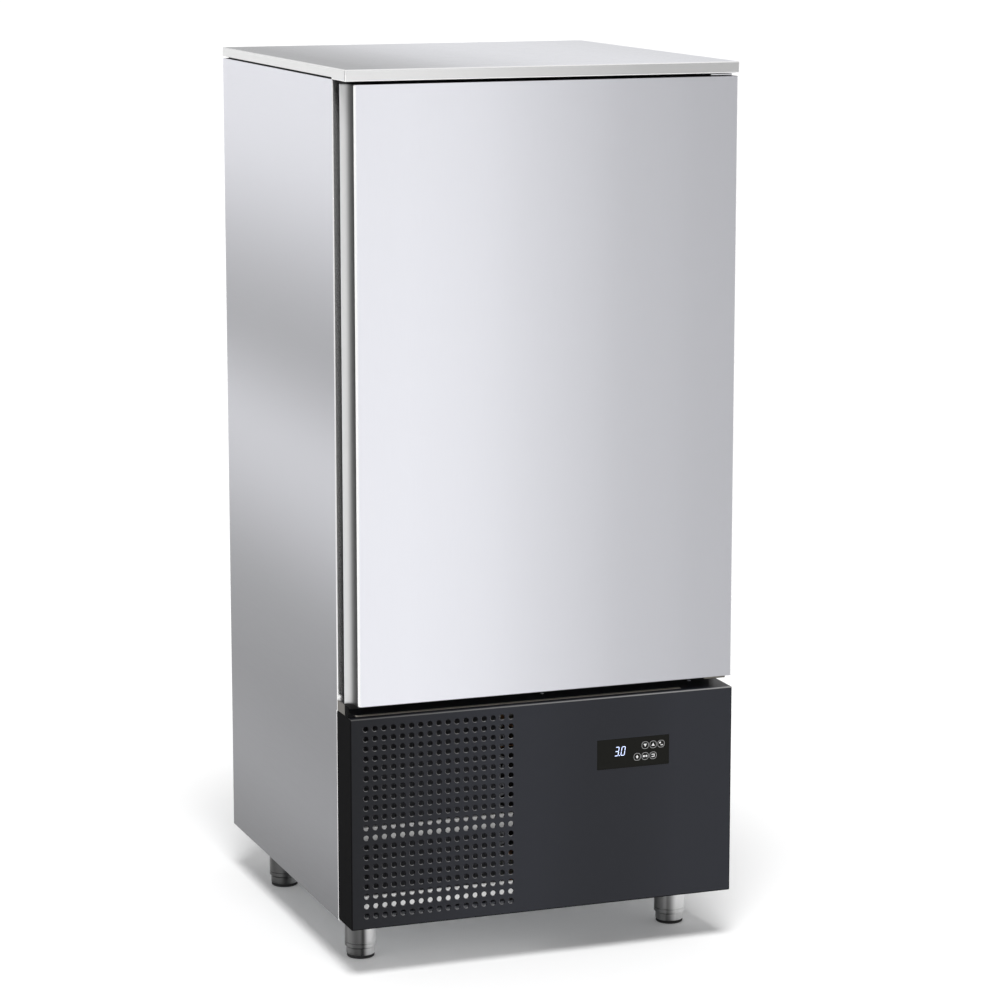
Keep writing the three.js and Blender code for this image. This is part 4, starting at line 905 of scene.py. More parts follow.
def figure_strokes(strokes):
    """Centre lines of a numeral's strokes, before it is slanted."""
    w, h = FIGURE_WIDTH, FIGURE_HEIGHT
    ends = {
        "a": ((0, h), (w, h)), "b": ((w, h), (w, h / 2)), "c": ((w, h / 2), (w, 0)),
        "d": ((0, 0), (w, 0)), "e": ((0, 0), (0, h / 2)), "f": ((0, h / 2), (0, h)),
        "g": ((0, h / 2), (w, h / 2)),
    }
    return [ends[stroke] for stroke in strokes]


def make_figures():
    form = bmesh.new()
    for figure, left in FIGURE_PLACES:
        for start, end in figure_strokes(FIGURES[figure]):
            outline = [
                (left + p.x + FIGURE_SLANT * p.y, FIGURE_BASE + p.y)
                for p in bar(start, end, STROKE)
            ]
            plate(form, outline)
    point = [(POINT_X + x, POINT_Z + z) for x, z in arc(0, 0, POINT_RADIUS, 0, 315, 7)]
    plate(form, point)
    return add_piece("display_figures", form, lit, "display_black")


def set_back(form):
    """Moves the frontmost plane a hair back, to leave room for the print."""
    for vert in form.verts:
        if abs(vert.co.y - FRONT) < NEAR:
            vert.co.y += PRINT_SETBACK


def rounded_square(cx, cz, size, radius, steps=5):
    half = size / 2 - radius
    points = []
    for x, z, start in ((half, half, 0), (-half, half, 90), (-half, -half, 180), (half, -half, 270)):
        points += [(cx + px, cz + pz) for px, pz in arc(x, z, radius, start, start + 90, steps)]
    return points


def ring_plate(form, outer, inner):
    """A flat printed ring between two outlines with as many points."""
    loops = []
    for y in (PRINT_PLANE, PRINT_PLANE + PRINT_DEPTH):
        loops.append([[form.verts.new((x, y, z)) for x, z in line] for line in (outer, inner)])
    (front_out, front_in), (rear_out, rear_in) = loops
    count = len(outer)
    for i in range(count):
        j = (i + 1) % count
        form.faces.new((front_out[i], front_out[j], front_in[j], front_in[i]))
        form.faces.new((rear_out[i], rear_in[i], rear_in[j], rear_out[j]))
        form.faces.new((front_out[i], rear_out[i], rear_out[j], front_out[j]))
        form.faces.new((front_in[i], front_in[j], rear_in[j], rear_in[i]))


def triangle(cx, cz, size, up):
    sign = 1 if up else -1
    return [(cx - size, cz - sign * size * 0.8), (cx + size, cz - sign * size * 0.8), (cx, cz + sign * size)]


def disc(cx, cz, radius, steps=13):
    return [(cx + x, cz + z) for x, z in arc(0, 0, radius, 0, 360 * steps / (steps + 1), steps)]


def lozenge(cx, cz, size):
    return [(cx - size * 0.8, cz), (cx, cz - size * 1.1), (cx + size * 0.8, cz), (cx, cz + size * 1.1)]


def short_bar(cx, cz, width, height):
    w, h = width / 2, height / 2
    return [(cx - w, cz - h), (cx + w, cz - h), (cx + w, cz + h), (cx - w, cz + h)]


SIGN = 0.0035
KEY_SIGNS = {
    1: lambda x, z: [triangle(x, z, SIGN, False)],
    2: lambda x, z: [triangle(x, z, SIGN, True)],
    3: lambda x, z: [
        disc(x - 0.0022, z + 0.0024, 0.0019), short_bar(x + 0.0016, z - 0.0022, 0.0046, 0.0018),
    ],
    4: lambda x, z: [lozenge(x, z, SIGN)],
    5: lambda x, z: [disc(x - 0.0026, z, 0.0021), disc(x + 0.0026, z, 0.0021)],
    6: lambda x, z: [
        short_bar(x, z + 0.0023, 0.0064, 0.0016), short_bar(x + 0.0025, z, 0.0014, 0.0028),
        short_bar(x, z - 0.0023, 0.0064, 0.0016),
    ],
}


def make_key(number):
    node = f"key_{number}"
    low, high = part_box(node)
    x, z = (low.x + high.x) / 2, (low.z + high.z) / 2
    form = solid_form(node)
    set_back(form)
    add_piece(node + "_cap", form, display_glass, "display_black", node, body=node)
    form = bmesh.new()
    ring_plate(form, *[rounded_square(x, z, size, radius) for size, radius in KEY_RING])
    add_piece(node + "_ring", form, print_grey, "display_black", body=node)
    form = bmesh.new()
    for outline in KEY_SIGNS[number](x, z):
        plate(form, outline)
    add_piece(node + "_sign", form, print_white, "display_black", body=node)


def make_display():
    form = solid_form("display_module")
    set_back(form)
    return add_piece("display_front", form, display_glass, "display_black", "display_module")


make_display()
make_figures()
for key_number in KEY_SIGNS:
    make_key(key_number)
print("keys:", len(KEY_SIGNS))

# %% [markdown]
# ## Feet
# A round stainless sleeve hides a screw, and the foot's lower cup turns on it to level the machine.
# Both are turned pieces: the profile is a short list of radii and heights with small chamfers, spun
# in 64 steps. Fine vertical streaks come from drawing the tube, so the grain runs up. Broad upright
# streaks of light and dark are painted into each foot's colour, one set for each place in the room:
# painted reflections and painted shade.

# %% Feet
CHAMFER = 0.0012
GROOVE = 0.0012
FOOT_RADIUS = 0.031
FOOT_FROM_MIDDLE = 0.329
# Each foot's colour is a ramp of greys across it: painted reflections and shade, one set for each place.
RIGHT_FOOT_REFLECTIONS = [(0, 0.16), (0.07, 0.28), (0.19, 0.34), (0.26, 0.17), (0.38, 0.45), (0.52, 1), (1, 1)]
FOOT_REFLECTIONS = {
    "front_left": [
        (0, 0.05), (0.03, 0.2), (0.19, 0.1), (0.33, 0.12), (0.45, 0.08), (0.55, 0.65), (0.7, 1), (1, 1),
    ],
    "front_right": RIGHT_FOOT_REFLECTIONS,
    "rear_left": [(0, 0.05), (0.25, 0.13), (0.45, 0.07), (0.6, 0.35), (0.8, 0.8), (1, 0.9)],
    "rear_right": RIGHT_FOOT_REFLECTIONS,
}


def foot_steel(place):
    """Polished tube steel; its upright streaks of light and dark are painted reflections and shade."""
    middle = -FOOT_FROM_MIDDLE if "left" in place else FOOT_FROM_MIDDLE
    return surface(
        f"foot_steel_{place}", (1.0, 1.0, 1.0), 0.3, 0.35, (260, 260, 8), 0.12, 0.06, 0.02,
        ("X", middle - FOOT_RADIUS, middle + FOOT_RADIUS, FOOT_REFLECTIONS[place]),
    )


def make_foot(place):
    foot_paint = foot_steel(place)
    sleeve, adjuster = "foot_sleeve_" + place, "foot_adjuster_" + place
    low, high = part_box(sleeve)
    x, y = (low.x + high.x) / 2, (low.y + high.y) / 2
    r = FOOT_RADIUS
    bottom, top = low.z, high.z
    bore = 0.0168
    form = bmesh.new()
    turned(form, [
        (bore, bottom), (r - CHAMFER, bottom), (r, bottom + CHAMFER),
        (r, bottom + 0.008), (r - GROOVE, bottom + 0.0086), (r - GROOVE, bottom + 0.0098),
        (r, bottom + 0.0104),
        (r, top - CHAMFER), (r - CHAMFER, top), (0.004, top), (0.004, top - 0.02), (bore, top - 0.0232),
    ], (x, y, 0))
    add_piece(sleeve + "_tube", form, foot_paint, "stainless", sleeve, angle=SHARP)
    low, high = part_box(adjuster)
    r = 0.028
    form = bmesh.new()
    turned(form, [
        (0, 0.0060), (0.022, 0.0060), (r - CHAMFER, 0.0064), (r, 0.0076), (r, 0.0202), (r - CHAMFER, 0.0214),
        (0.0158, 0.0217), (0.0158, high.z - 0.001), (0.0148, high.z), (0, high.z),
    ], (x, y, 0))
    body = "foot_" + place
    add_piece(adjuster + "_cup", form, foot_paint, "stainless", adjuster, body=body, angle=SHARP)
    form = bmesh.new()
    turned(form, [(0, 0.0), (0.0255, 0.0), (0.0272, 0.0014), (0.0272, 0.0062), (0, 0.0058)], (x, y, 0))
    add_piece(adjuster + "_sole", form, rubber, "gasket_rubber", body=body, angle=SHARP)


for foot_place in FOOT_REFLECTIONS:
    make_foot(foot_place)

# %% [markdown]
# ## Door
# The door's outer sheet is the machine's face: one sheet that runs round the right side, over the
# front and into a full-height finger cove at the left. The profile is drawn in plan with its
# bends as arcs, the inner line beside the outer one, and raised to the door's height. Its top and
# bottom edges are rounded over, and they, the bends and a thin band along the edges are painted in a
# brighter steel as a highlight, so the front is framed by a thin bright line. The front is painted
# from light at the left to darker at the right as a reflection, and the cove from near-black at the
# lip to light at its back as shade.

# %% Door sheet
DOOR_LOW, DOOR_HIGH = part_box("door_skin")
COVE_RADIUS = 0.015
LIP_DEPTH = 0.024
DOOR_LEFT = DOOR_LOW.x + COVE_RADIUS
DOOR_BEND = 0.0024
LIP_BEND = 0.0036
EDGE_HIGHLIGHT_BAND = 0.0026

# The cove is painted from near-black at the lip to light at the back of the cove: painted shade.
steel_cove = surface(
    "brushed_steel_cove", (1.0, 1.0, 1.0), 0.4, 0.3, GRAIN_UP, 0.02, 0.04, 0.02,
    ("Y", DOOR_LOW.y, DOOR_LOW.y + LIP_DEPTH + COVE_RADIUS, [
        (0.0, 0.015), (0.14, 0.02), (0.3, 0.05), (0.47, 0.09), (0.62, 0.15), (0.8, 0.33), (0.9, 0.6),
        (1.0, 0.8),
    ]), specular=0.1,
)


def door_outline():
    """The sheet in plan as two lines of as many points, outer and inner, from right to left."""
    right, left, front, rear = DOOR_HIGH.x, DOOR_LEFT, DOOR_LOW.y, DOOR_HIGH.y
    outer = [(right, rear)]
    inner = [(right - SHEET, rear)]
    centre = (right - DOOR_BEND, front + DOOR_BEND)
    outer += list(arc(*centre, DOOR_BEND, 0, -90, 6))
    inner += list(arc(*centre, DOOR_BEND - SHEET, 0, -90, 6))
    centre = (left + LIP_BEND, front + LIP_BEND)
    outer += list(arc(*centre, LIP_BEND, -90, -180, 6))
    inner += list(arc(*centre, LIP_BEND - SHEET, -90, -180, 6))
    cove = (left - COVE_RADIUS, front + LIP_DEPTH)
    outer += list(arc(*cove, COVE_RADIUS, 0, 90, 20))
    inner += list(arc(*cove, COVE_RADIUS + SHEET, 0, 90, 20))
    return outer, inner


def make_door_skin():
    outer, inner = door_outline()
    form = bmesh.new()
    sides = prism(form, outer + inner[::-1], DOOR_LOW.z, DOOR_HIGH.z)
    # The bends take the brighter fold steel, a painted highlight; the cove takes the cove steel, whose ramp
    # is painted shade.
    bends = list(range(1, 7)) + list(range(8, 14))
    count = len(outer)
    for i, side in enumerate(sides):
        side.smooth = i < count - 1 or i >= count
        if i in bends:
            side.material_index = 1
        elif 14 <= i < count - 1:
            side.material_index = 2
    flat = {sides[0], sides[7], sides[count - 1], sides[-1]}
    for side in flat:
        side.smooth = False
    ends = set()
    for i in range(count - 1):
        for edge in sides[i].edges:
            if abs(edge.verts[0].co.z - edge.verts[1].co.z) < HAIR:
                ends.add(edge)
    round_edges(form, 0.0012, lambda edge: edge in ends, 3, 60, paint_index=1)
    # Thin bands along the front's top and bottom edges are painted in the fold steel too: painted highlights.
    for z in (DOOR_LOW.z + EDGE_HIGHLIGHT_BAND, DOOR_HIGH.z - EDGE_HIGHLIGHT_BAND):
        bisect(form, (0, 0, z), (0, 0, 1))
    for face in form.faces:
        z = face.calc_center_median().z
        at_edge = z < DOOR_LOW.z + EDGE_HIGHLIGHT_BAND or z > DOOR_HIGH.z - EDGE_HIGHLIGHT_BAND
        if at_edge and face.normal.y < -0.5 and face.material_index == 0:
            face.material_index = 1
    piece = make_piece("door_sheet", form, steel_door, polished_fold, steel_cove)
    return place_piece(piece, "door", "stainless", "door_skin")


make_door_skin()

# %% [markdown]
# ## Inside the door
# Behind the sheet are foam, two moulded end caps and a black grip profile. The liner is a pressed
# steel sheet with a shallow raised field, which keeps a large flat sheet from drumming. The magnetic
# gasket is an extruded rubber section with a soft fold, mitred at the corners, so its section is
# drawn once and carried round a rectangle.

# %% Inside of the door
grip_plastic = surface("grip_plastic", (0.012, 0.012, 0.011), 0.55, 0, 300, 0.1, 0.05, 0.05, specular=0.1)
PRESSED = 0.007
PRESS_SLOPE = 0.012
FIELD_MARGIN = 0.075


def make_door_liner():
    low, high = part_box("door_liner")
    form = bmesh.new()
    front, rear = low.y, high.y
    rings = []
    slope = FIELD_MARGIN + PRESS_SLOPE
    for inset, y in ((0, rear), (FIELD_MARGIN, rear), (slope, rear + PRESSED)):
        corners = (
            (low.x + inset, y, low.z + inset), (high.x - inset, y, low.z + inset),
            (high.x - inset, y, high.z - inset), (low.x + inset, y, high.z - inset),
        )
        rings.append([form.verts.new(corner) for corner in corners])
    join_rings(form, rings, smooth=False, capped=False)
    form.faces.new(rings[-1])

    def in_field(edge):
        return all(abs(v.co.x - low.x) > 0.01 and abs(v.co.x - high.x) > 0.01 for v in edge.verts)

    round_edges(form, 0.003, in_field, 3, 10)
    piece = thicken(make_piece("door_liner_sheet", form, steel), rear - front)
    rear_most = max(v.co.y for v in piece.data.vertices)
    if rear_most > rear + PRESSED + NEAR:
        for vert in piece.data.vertices:
            vert.co.y -= rear_most - rear - PRESSED
    return place_piece(piece, "door", "stainless", "door_liner")


def swept_rectangle(form, section, half, bottom, top):
    """Carries a closed section (inset, y) round an upright rectangle, mitred at the corners."""
    rings = []
    for sx, z_edge, sz in ((-1, bottom, 1), (1, bottom, 1), (1, top, -1), (-1, top, -1)):
        rings.append([form.verts.new((sx * (half - inset), y, z_edge + sz * inset)) for inset, y in section])
    join_rings(form, rings + rings[:1], smooth=False, capped=False)


def make_gasket():
    low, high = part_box("door_gasket")
    near, far = low.y, high.y
    depth = far - near
    section = [
        (0.004, near), (0.026, near), (0.028, near + 0.15 * depth), (0.024, near + 0.3 * depth),
        (0.030, near + 0.42 * depth), (0.0265, near + 0.55 * depth), (0.032, near + 0.66 * depth),
        (0.032, far - 0.001), (0.031, far), (0.004, far), (0.003, far - 0.001), (0.003, near + 0.66 * depth),
        (0.0075, near + 0.55 * depth), (0.0, near + 0.42 * depth), (0.005, near + 0.3 * depth),
        (0.001, near + 0.15 * depth),
    ]
    form = bmesh.new()
    swept_rectangle(form, section, high.x, low.z, high.z)
    return add_piece("door_gasket_section", form, rubber, "gasket_rubber", "door_gasket", body="door")


make_door_liner()
make_gasket()
for end in ("bottom", "top"):
    dress(f"door_cap_{end}", f"door_cap_{end}_moulded", "door", "grey_plastic", 0.0005, grey_plastic)
dress("door_grip", "door_grip_profile", "door", "black_plastic", 0.0008, grip_plastic)
for end in ("lower", "upper"):
    bush = f"hinge_bush_{end}"
    sharpen(dress(bush, bush + "_moulded", "door", "black_plastic", 0.0006, black_plastic))

# %% [markdown]
# ## Hinges and the gap under the door
# Two bent plates carry the door on pins. The lower one shows at the right end of the gap, with the
# cam that closes the door, and its colour is painted dark as shade. A small folded plate closes the
# gap at the left end; its colour is painted dark tan-grey as shade, and its front half near-black, in
# the same painted shade as the cover's sides. Plate edges are only broken by half a millimetre. The
# screws of the hinges and of the cover's flange are set here.

# %% Hinges
FLANGE_SCREWS = [(x, -0.3372, 0.516) for x in (0.022, 0.334)]
HINGE_X, HINGE_Y = 0.363, -0.385
HINGE_PLATE = 0.003
HINGE_SCREW_LEVELS = {"lower": 0.014, "upper": -0.0095}
# Where the corner plate's near-black painted shade begins, towards the front.
PLATE_SHADE_FROM = -0.374
HINGE_PAINTS = {
    # The lower plate sits in the gap under the door; its dark colour is painted shade.
    "lower": surface("hinge_steel", (0.16, 0.15, 0.13), 0.4, 0.8, 150, 0.15, 0.06, 0.03),
    "upper": steel,
}


def make_hinge(end):
    node = f"hinge_bracket_{end}"
    form = solid_form(node)
    round_edges(form, 0.0005, lambda edge: edge.calc_length() > 0.008, 2, 60)
    add_piece(node + "_plate", form, HINGE_PAINTS[end], "stainless", node, angle=30)
    low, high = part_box(node)
    z = (low if end == "lower" else high).z + HINGE_SCREW_LEVELS[end]
    return [(x, high.y - HINGE_PLATE - 0.0002, z) for x in (0.349, 0.377)]


def make_cam():
    """The grooved collar between the lower plate and the door."""
    form = bmesh.new()
    turned(form, [
        (0.0064, 0.5371), (0.0115, 0.5371), (0.0120, 0.5375), (0.0120, 0.5382), (0.0112, 0.5388),
        (0.0064, 0.5388),
    ], (HINGE_X, HINGE_Y, 0), 40)
    return add_piece("hinge_cam", form, black_plastic, "black_plastic", angle=SHARP)


for end in ("lower", "upper"):
    spots = make_hinge(end)
    screws(f"hinge_{end}_screws", spots, (0, -1, 0), 0.0042, 0.0024)
make_cam()
screws("cover_flange_screws", FLANGE_SCREWS, (0, 0, 1), 0.0036)


def make_corner_plate():
    form = solid_form("corner_plate")
    round_edges(form, 0.0006, None, 2, 60)
    # The front half of the plate is painted near-black: painted shade, so that it reads like the cover's
    # black flange in the gap.
    bisect(form, (0, PLATE_SHADE_FROM, 0), (0, 1, 0))
    for face in form.faces:
        face.material_index = 1 if face.calc_center_median().y < PLATE_SHADE_FROM else 0
    piece = make_piece("corner_plate_folded", form, worn_plate, black_coat_side)
    return place_piece(piece, "cabinet", "stainless", "corner_plate")


make_corner_plate()

# %% [markdown]
# ## Front frame and chamber
# The opening is framed by a plastic profile that keeps the cold from the outer sheets, and the chamber
# is a welded liner with coved corners, so it wipes clean. A box with one side open makes the liner:
# its edges are rounded and the sheet is thickened outwards, into the foam's room.

# %% Frame and chamber
LINER_COVE = 0.011
LINER_SHEET = 0.0008
frame_plastic = surface("frame_plastic", (0.08, 0.08, 0.078), 0.5, 0, 300, 0.05, 0.05, 0.04)


def make_liner():
    low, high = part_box("chamber_liner")
    form = bmesh.new()
    inset = Vector((LINER_SHEET, 0, LINER_SHEET))
    inner_low, inner_high = low + inset, high - inset
    inner_high.y = high.y - LINER_SHEET
    block(form, (inner_low + inner_high) / 2, inner_high - inner_low)
    front = [face for face in form.faces if face.calc_center_median().y < low.y + HAIR]
    bmesh.ops.delete(form, geom=front, context="FACES_ONLY")
    round_edges(form, LINER_COVE, None, 6)
    bmesh.ops.reverse_faces(form, faces=form.faces)
    mesh = bpy.data.meshes.new("chamber_liner_sheet")
    form.to_mesh(mesh)
    form.free()
    mesh.materials.append(steel)
    piece = thicken(new_object("chamber_liner_sheet", mesh), LINER_SHEET)
    return place_piece(piece, "cabinet", "stainless", "chamber_liner")


make_liner()
dress("front_frame", "front_frame_profile", "cabinet", "grey_plastic", 0.0010, frame_plastic)

# %% [markdown]
# ## Tray racks
# Each rack is a ladder of folded rails on two slotted uprights. One rail is drawn with its fold
# rounded and a tree repeats it up the rack. The uprights are punched with a row of hooks' slots,
# again by one boolean with a tree's punches.

# %% Tray racks
RAILS = 14
RAIL_FIRST, RAIL_PITCH = 0.657, 0.070
RAIL_SHEET, RAIL_LEDGE, RAIL_LEG = 0.0016, 0.020, 0.012
UPRIGHT_WIDTH, UPRIGHT_SHEET = 0.026, 0.003
UPRIGHT_PLACES = (-0.272, 0.048)
UPRIGHT_ENDS = (0.627, 1.597)
SLOT_OVER_RAIL, SLOT_SIZE = 0.03, (0.01, 0.006, 0.018)


def make_rail(name, sign, low, high):
    """One rail: a ledge for the tray and a leg up the upright, with the fold rounded."""
    wall = (high.x if sign > 0 else low.x) - sign * UPRIGHT_SHEET
    tip = wall - sign * RAIL_LEDGE
    z = RAIL_FIRST
    bend = 0.0026
    x = wall - sign * bend
    thin = bend - RAIL_SHEET
    outer = [(tip, z), *quarter(x, z + bend, sign * bend, -bend), (wall, z + RAIL_LEG)]
    inner = [(tip, z + RAIL_SHEET), *quarter(x, z + bend, sign * thin, -thin)]
    inner.append((wall - sign * RAIL_SHEET, z + RAIL_LEG))
    form = bmesh.new()
    extrude(form, outer + inner[::-1], low.y, high.y, 1)
    rail = make_piece(name, form, steel)
    sharpen(rail, 30)
    return repeated(rail, 1, (0.0, 0.0, 0.0), steel, RAILS, (0.0, 0.0, RAIL_PITCH))


def make_uprights(name, sign, low, high):
    wall = high.x if sign > 0 else low.x
    form = bmesh.new()
    size = (UPRIGHT_SHEET, UPRIGHT_WIDTH, UPRIGHT_ENDS[1] - UPRIGHT_ENDS[0])
    middle = wall - sign * UPRIGHT_SHEET / 2
    for place in UPRIGHT_PLACES:
        block(form, (middle, place, sum(UPRIGHT_ENDS) / 2), size)
    round_edges(form, 0.0007, None, 2)
    piece = make_piece(name, form, steel)
    tree = Tree(
        "punch_uprights", Columns=2, Rows=RAILS,
        ColumnStep=(0.0, UPRIGHT_PLACES[1] - UPRIGHT_PLACES[0], 0.0), RowStep=(0.0, 0.0, RAIL_PITCH),
        First=(middle, UPRIGHT_PLACES[0], RAIL_FIRST + SLOT_OVER_RAIL), Slot=SLOT_SIZE, Paint=steel,
    )
    punch = tree.add("GeometryNodeMeshCube", Size=tree.inputs["Slot"])
    return tree.finish(tree.cut(tree.punches(punch[0])), tree.inputs["Paint"]).run(piece)


for side_name, side_sign in (("tray_rack_left", -1), ("tray_rack_right", 1)):
    rack_low, rack_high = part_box(side_name)
    for label, make in (("_rails", make_rail), ("_uprights", make_uprights)):
        part = make(side_name + label, side_sign, rack_low, rack_high)
        place_piece(part, "cabinet", "stainless", side_name)

# %% [markdown]
# ## Fan baffle and wire guards
# A baffle stands between the chamber and the evaporator, with a round mouth for each fan and a
# wire guard over it. The guard is rings and spokes of one wire: a tree scales one circle for
# each ring, turns one line for each spoke, domes them all and gives the wire its thickness.

# %% Fan baffle
FAN_CENTRES = ((0.0, 0.880), (0.0, 1.370))
MOUTH_RADIUS = 0.134
WIRE = 0.0011


def wire_guard(name, place, rings, inner, step, spokes, dome):
    """A domed guard of rings and spokes that lies in an upright plane."""
    outer = inner + step * (rings - 1)
    tree = Tree(
        "wire_guard", Rings=rings, Spokes=spokes, Inner=inner, Step=step, Outer=outer, Dome=dome,
        Wire=WIRE, Place=tuple(place), Paint=steel,
    )
    given = tree.inputs
    index = tree.add("GeometryNodeInputIndex")[0]

    def copies(count, curve, **how):
        spots = tree.add("GeometryNodeMeshLine", Count=given[count], Offset=(0, 0, 0))
        return tree.add("GeometryNodeInstanceOnPoints", Points=spots[0], Instance=curve[0], **how)[0]

    def circle(sides, radius):
        mode = {"mode": "RADIUS"}
        return tree.add("GeometryNodeCurvePrimitiveCircle", mode, Resolution=sides, Radius=radius)

    radius = tree.compute("MULTIPLY_ADD", index, given["Step"], given["Inner"])
    share = tree.compute("DIVIDE", math.tau, given["Spokes"])
    turn = tree.add("ShaderNodeCombineXYZ", Z=tree.compute("MULTIPLY", index, share))[0]
    start, end = [tree.add("ShaderNodeCombineXYZ", X=given[label])[0] for label in ("Inner", "Outer")]
    line = tree.add("GeometryNodeCurvePrimitiveLine", Start=start, End=end)
    spoke = tree.add("GeometryNodeResampleCurve", Curve=line[0])
    both = tree.join(copies("Rings", circle(56, 1.0), Scale=radius), copies("Spokes", spoke, Rotation=turn))
    real = tree.add("GeometryNodeRealizeInstances", Geometry=both)
    spot = tree.add("GeometryNodeInputPosition")[0]
    length = tree.add("ShaderNodeVectorMath", {"operation": "LENGTH"}, {0: spot})["Value"]
    ratio = tree.compute("DIVIDE", length, given["Outer"])
    rise = tree.compute("SUBTRACT", 1.0, tree.compute("MULTIPLY", ratio, ratio))
    shift = tree.add("ShaderNodeCombineXYZ", Z=tree.compute("MULTIPLY", rise, given["Dome"]))[0]
    domed = tree.add("GeometryNodeSetPosition", Geometry=real[0], Offset=shift)
    profile = circle(6, given["Wire"])
    wires = tree.add("GeometryNodeCurveToMesh", slots={0: domed[0], 1: profile[0], "Fill Caps": True})
    upright = (math.radians(90), 0, 0)
    laid = tree.add("GeometryNodeTransform", Geometry=wires[0], Rotation=upright, Translation=given["Place"])
    piece = new_object(name, bpy.data.meshes.new(name))
    tree.finish(laid[0], given["Paint"]).run(piece)
    return place_piece(piece, "cabinet", "stainless")


def make_baffle():
    low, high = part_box("fan_baffle")
    add_piece("fan_baffle_sheet", solid_form("fan_baffle"), steel, "stainless", "fan_baffle", angle=SHARP)
    for number, (x, z) in enumerate(FAN_CENTRES, 1):
        wire_guard(f"fan_guard_{number}", (x, low.y - WIRE, z), 11, 0.024, 0.0122, 6, 0.010)
        rim = bmesh.new()
        turned(rim, [
            (MOUTH_RADIUS - 0.0015, high.y + 0.012), (MOUTH_RADIUS - 0.0015, low.y + 0.001),
            (MOUTH_RADIUS - 0.0005, low.y - 0.0004), (MOUTH_RADIUS + 0.003, low.y - 0.0008),
            (MOUTH_RADIUS + 0.008, low.y - 0.0004), (MOUTH_RADIUS + 0.008, low.y - 0.0001),
            (MOUTH_RADIUS - 0.0002, low.y - 0.0001), (MOUTH_RADIUS - 0.0002, high.y + 0.012),
        ], (x, 0, z), 72, "Y")
        add_piece(f"fan_mouth_{number}", rim, steel, "stainless", angle=SHARP)
    edge_x = high.x - 0.012
    spots = [
        (sx * edge_x, low.y, low.z + share * (high.z - low.z))
        for sx in (-1, 1) for share in (0.02, 0.26, 0.5, 0.74, 0.98)
    ]
    return screws("baffle_screws", spots, (0, -1, 0), 0.004)


make_baffle()

# %% [markdown]
# ## Fans and their motors
# Axial fans have a domed hub and broad, swept blades that twist from a steep root to a flat tip.
# A blade is drawn as a row of sections, each one a thin curved aerofoil turned by its own angle, and
# the same blade is turned round the hub five times. The motor is a ribbed can on three arms.

# %% Fans
def blade_sections(inner, outer, root_chord, tip_chord, root_pitch, tip_pitch, count=8):
    """Sections from root to tip: radius, chord, pitch and sweep."""
    for i in range(count + 1):
        t = i / count
        yield (
            inner + (outer - inner) * t,
            root_chord + (tip_chord - root_chord) * math.sin(t * math.pi / 2),
            math.radians(root_pitch + (tip_pitch - root_pitch) * t),
            0.10 * t * t,
        )


def add_blade(form, axis_height, sections, turn, thickness=0.0012, steps=8):
    """Adds one blade about the Z axis; the pitch tilts it along the axis."""
    rings = []
    for radius, chord, pitch, sweep in sections:
        upper, lower = [], []
        for k in range(steps + 1):
            s = k / steps - 0.5
            camber = 0.09 * chord * (1 - 4 * s * s)
            along = s * chord * math.cos(pitch) - camber * math.sin(pitch)
            height = s * chord * math.sin(pitch) + camber * math.cos(pitch)
            half = thickness / 2 * (1 - 3.2 * s * s)
            angle = turn + sweep + along / radius
            for line, offset in ((upper, half), (lower, -half)):
                line.append(form.verts.new((
                    radius * math.cos(angle), radius * math.sin(angle), axis_height + height + offset
                )))
        rings.append(upper + lower[::-1])
    join_rings(form, rings)


fan_plastic = surface("fan_plastic", (0.025, 0.025, 0.028), 0.38, 0, 160, 0.08, 0.05, 0.04)
SHAFT_BORE = 0.0054
HUB_RADIUS, TIP_RADIUS = 0.034, 0.128
BLADES = 5


def make_fan(node, centre):
    """A fan wheel, which turns as a body of its own."""
    low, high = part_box(node)
    hub = HUB_RADIUS
    depth = high.y - low.y
    form = bmesh.new()
    turned(form, [
        (0, 0.04 * depth), (0.4 * hub, 0.05 * depth), (0.85 * hub, 0.12 * depth), (hub, 0.26 * depth),
        (hub, 0.97 * depth), (0.93 * hub, depth), (SHAFT_BORE, depth), (SHAFT_BORE, 0.47 * depth),
        (0, 0.46 * depth),
    ], (0, 0, 0), 48)
    spans = list(blade_sections(hub * 0.94, TIP_RADIUS, 0.058, 0.092, 27, 13.5))
    for k in range(BLADES):
        add_blade(form, 0.5 * depth, spans, math.tau * k / BLADES)
    piece = make_piece(node + "_wheel", form, fan_plastic)
    place = Matrix.Translation((centre[0], low.y, centre[1]))
    piece.data.transform(place @ Matrix.Rotation(math.radians(-90), 4, "X"))
    sharpen(piece, 40)
    reach = [vert.co.y for vert in piece.data.vertices]
    for label, ends in (("wheel", (min(reach), max(reach))), ("solid", (low.y, high.y))):
        print(node, label, [round(value, 4) for value in ends])
    return place_piece(piece, node, "black_plastic", node)


for number, centre in enumerate(FAN_CENTRES, 1):
    make_fan(f"evaporator_fan_{number}", centre)

# %% [markdown]
# ## Bent strips and tubes
# Motor arms are strips bent round a tool, and copper lines are tubes bent round a former. Both
# follow a path whose corners are turned into arcs first. A ring of points is then carried along the
# path, turned as little as possible from one step to the next, so the tube doesn't twist.

# %% Paths, tubes and motors
def rounded_path(points, bend, steps=6):
    """The path with its inner corners turned into arcs of one radius."""
    spots = [Vector(point) for point in points]
    result = [spots[0]]
    for before, corner, after in zip(spots, spots[1:], spots[2:]):
        a, b = (before - corner).normalized(), (after - corner).normalized()
        half = a.angle(b) / 2
        reach = bend / math.tan(half)
        centre = corner + (a + b).normalized() * (bend / math.sin(half))
        start = (corner + a * reach - centre).normalized()
        end = (corner + b * reach - centre).normalized()
        result += [centre + bend * start.slerp(end, i / steps) for i in range(steps + 1)]
    return result + [spots[-1]]


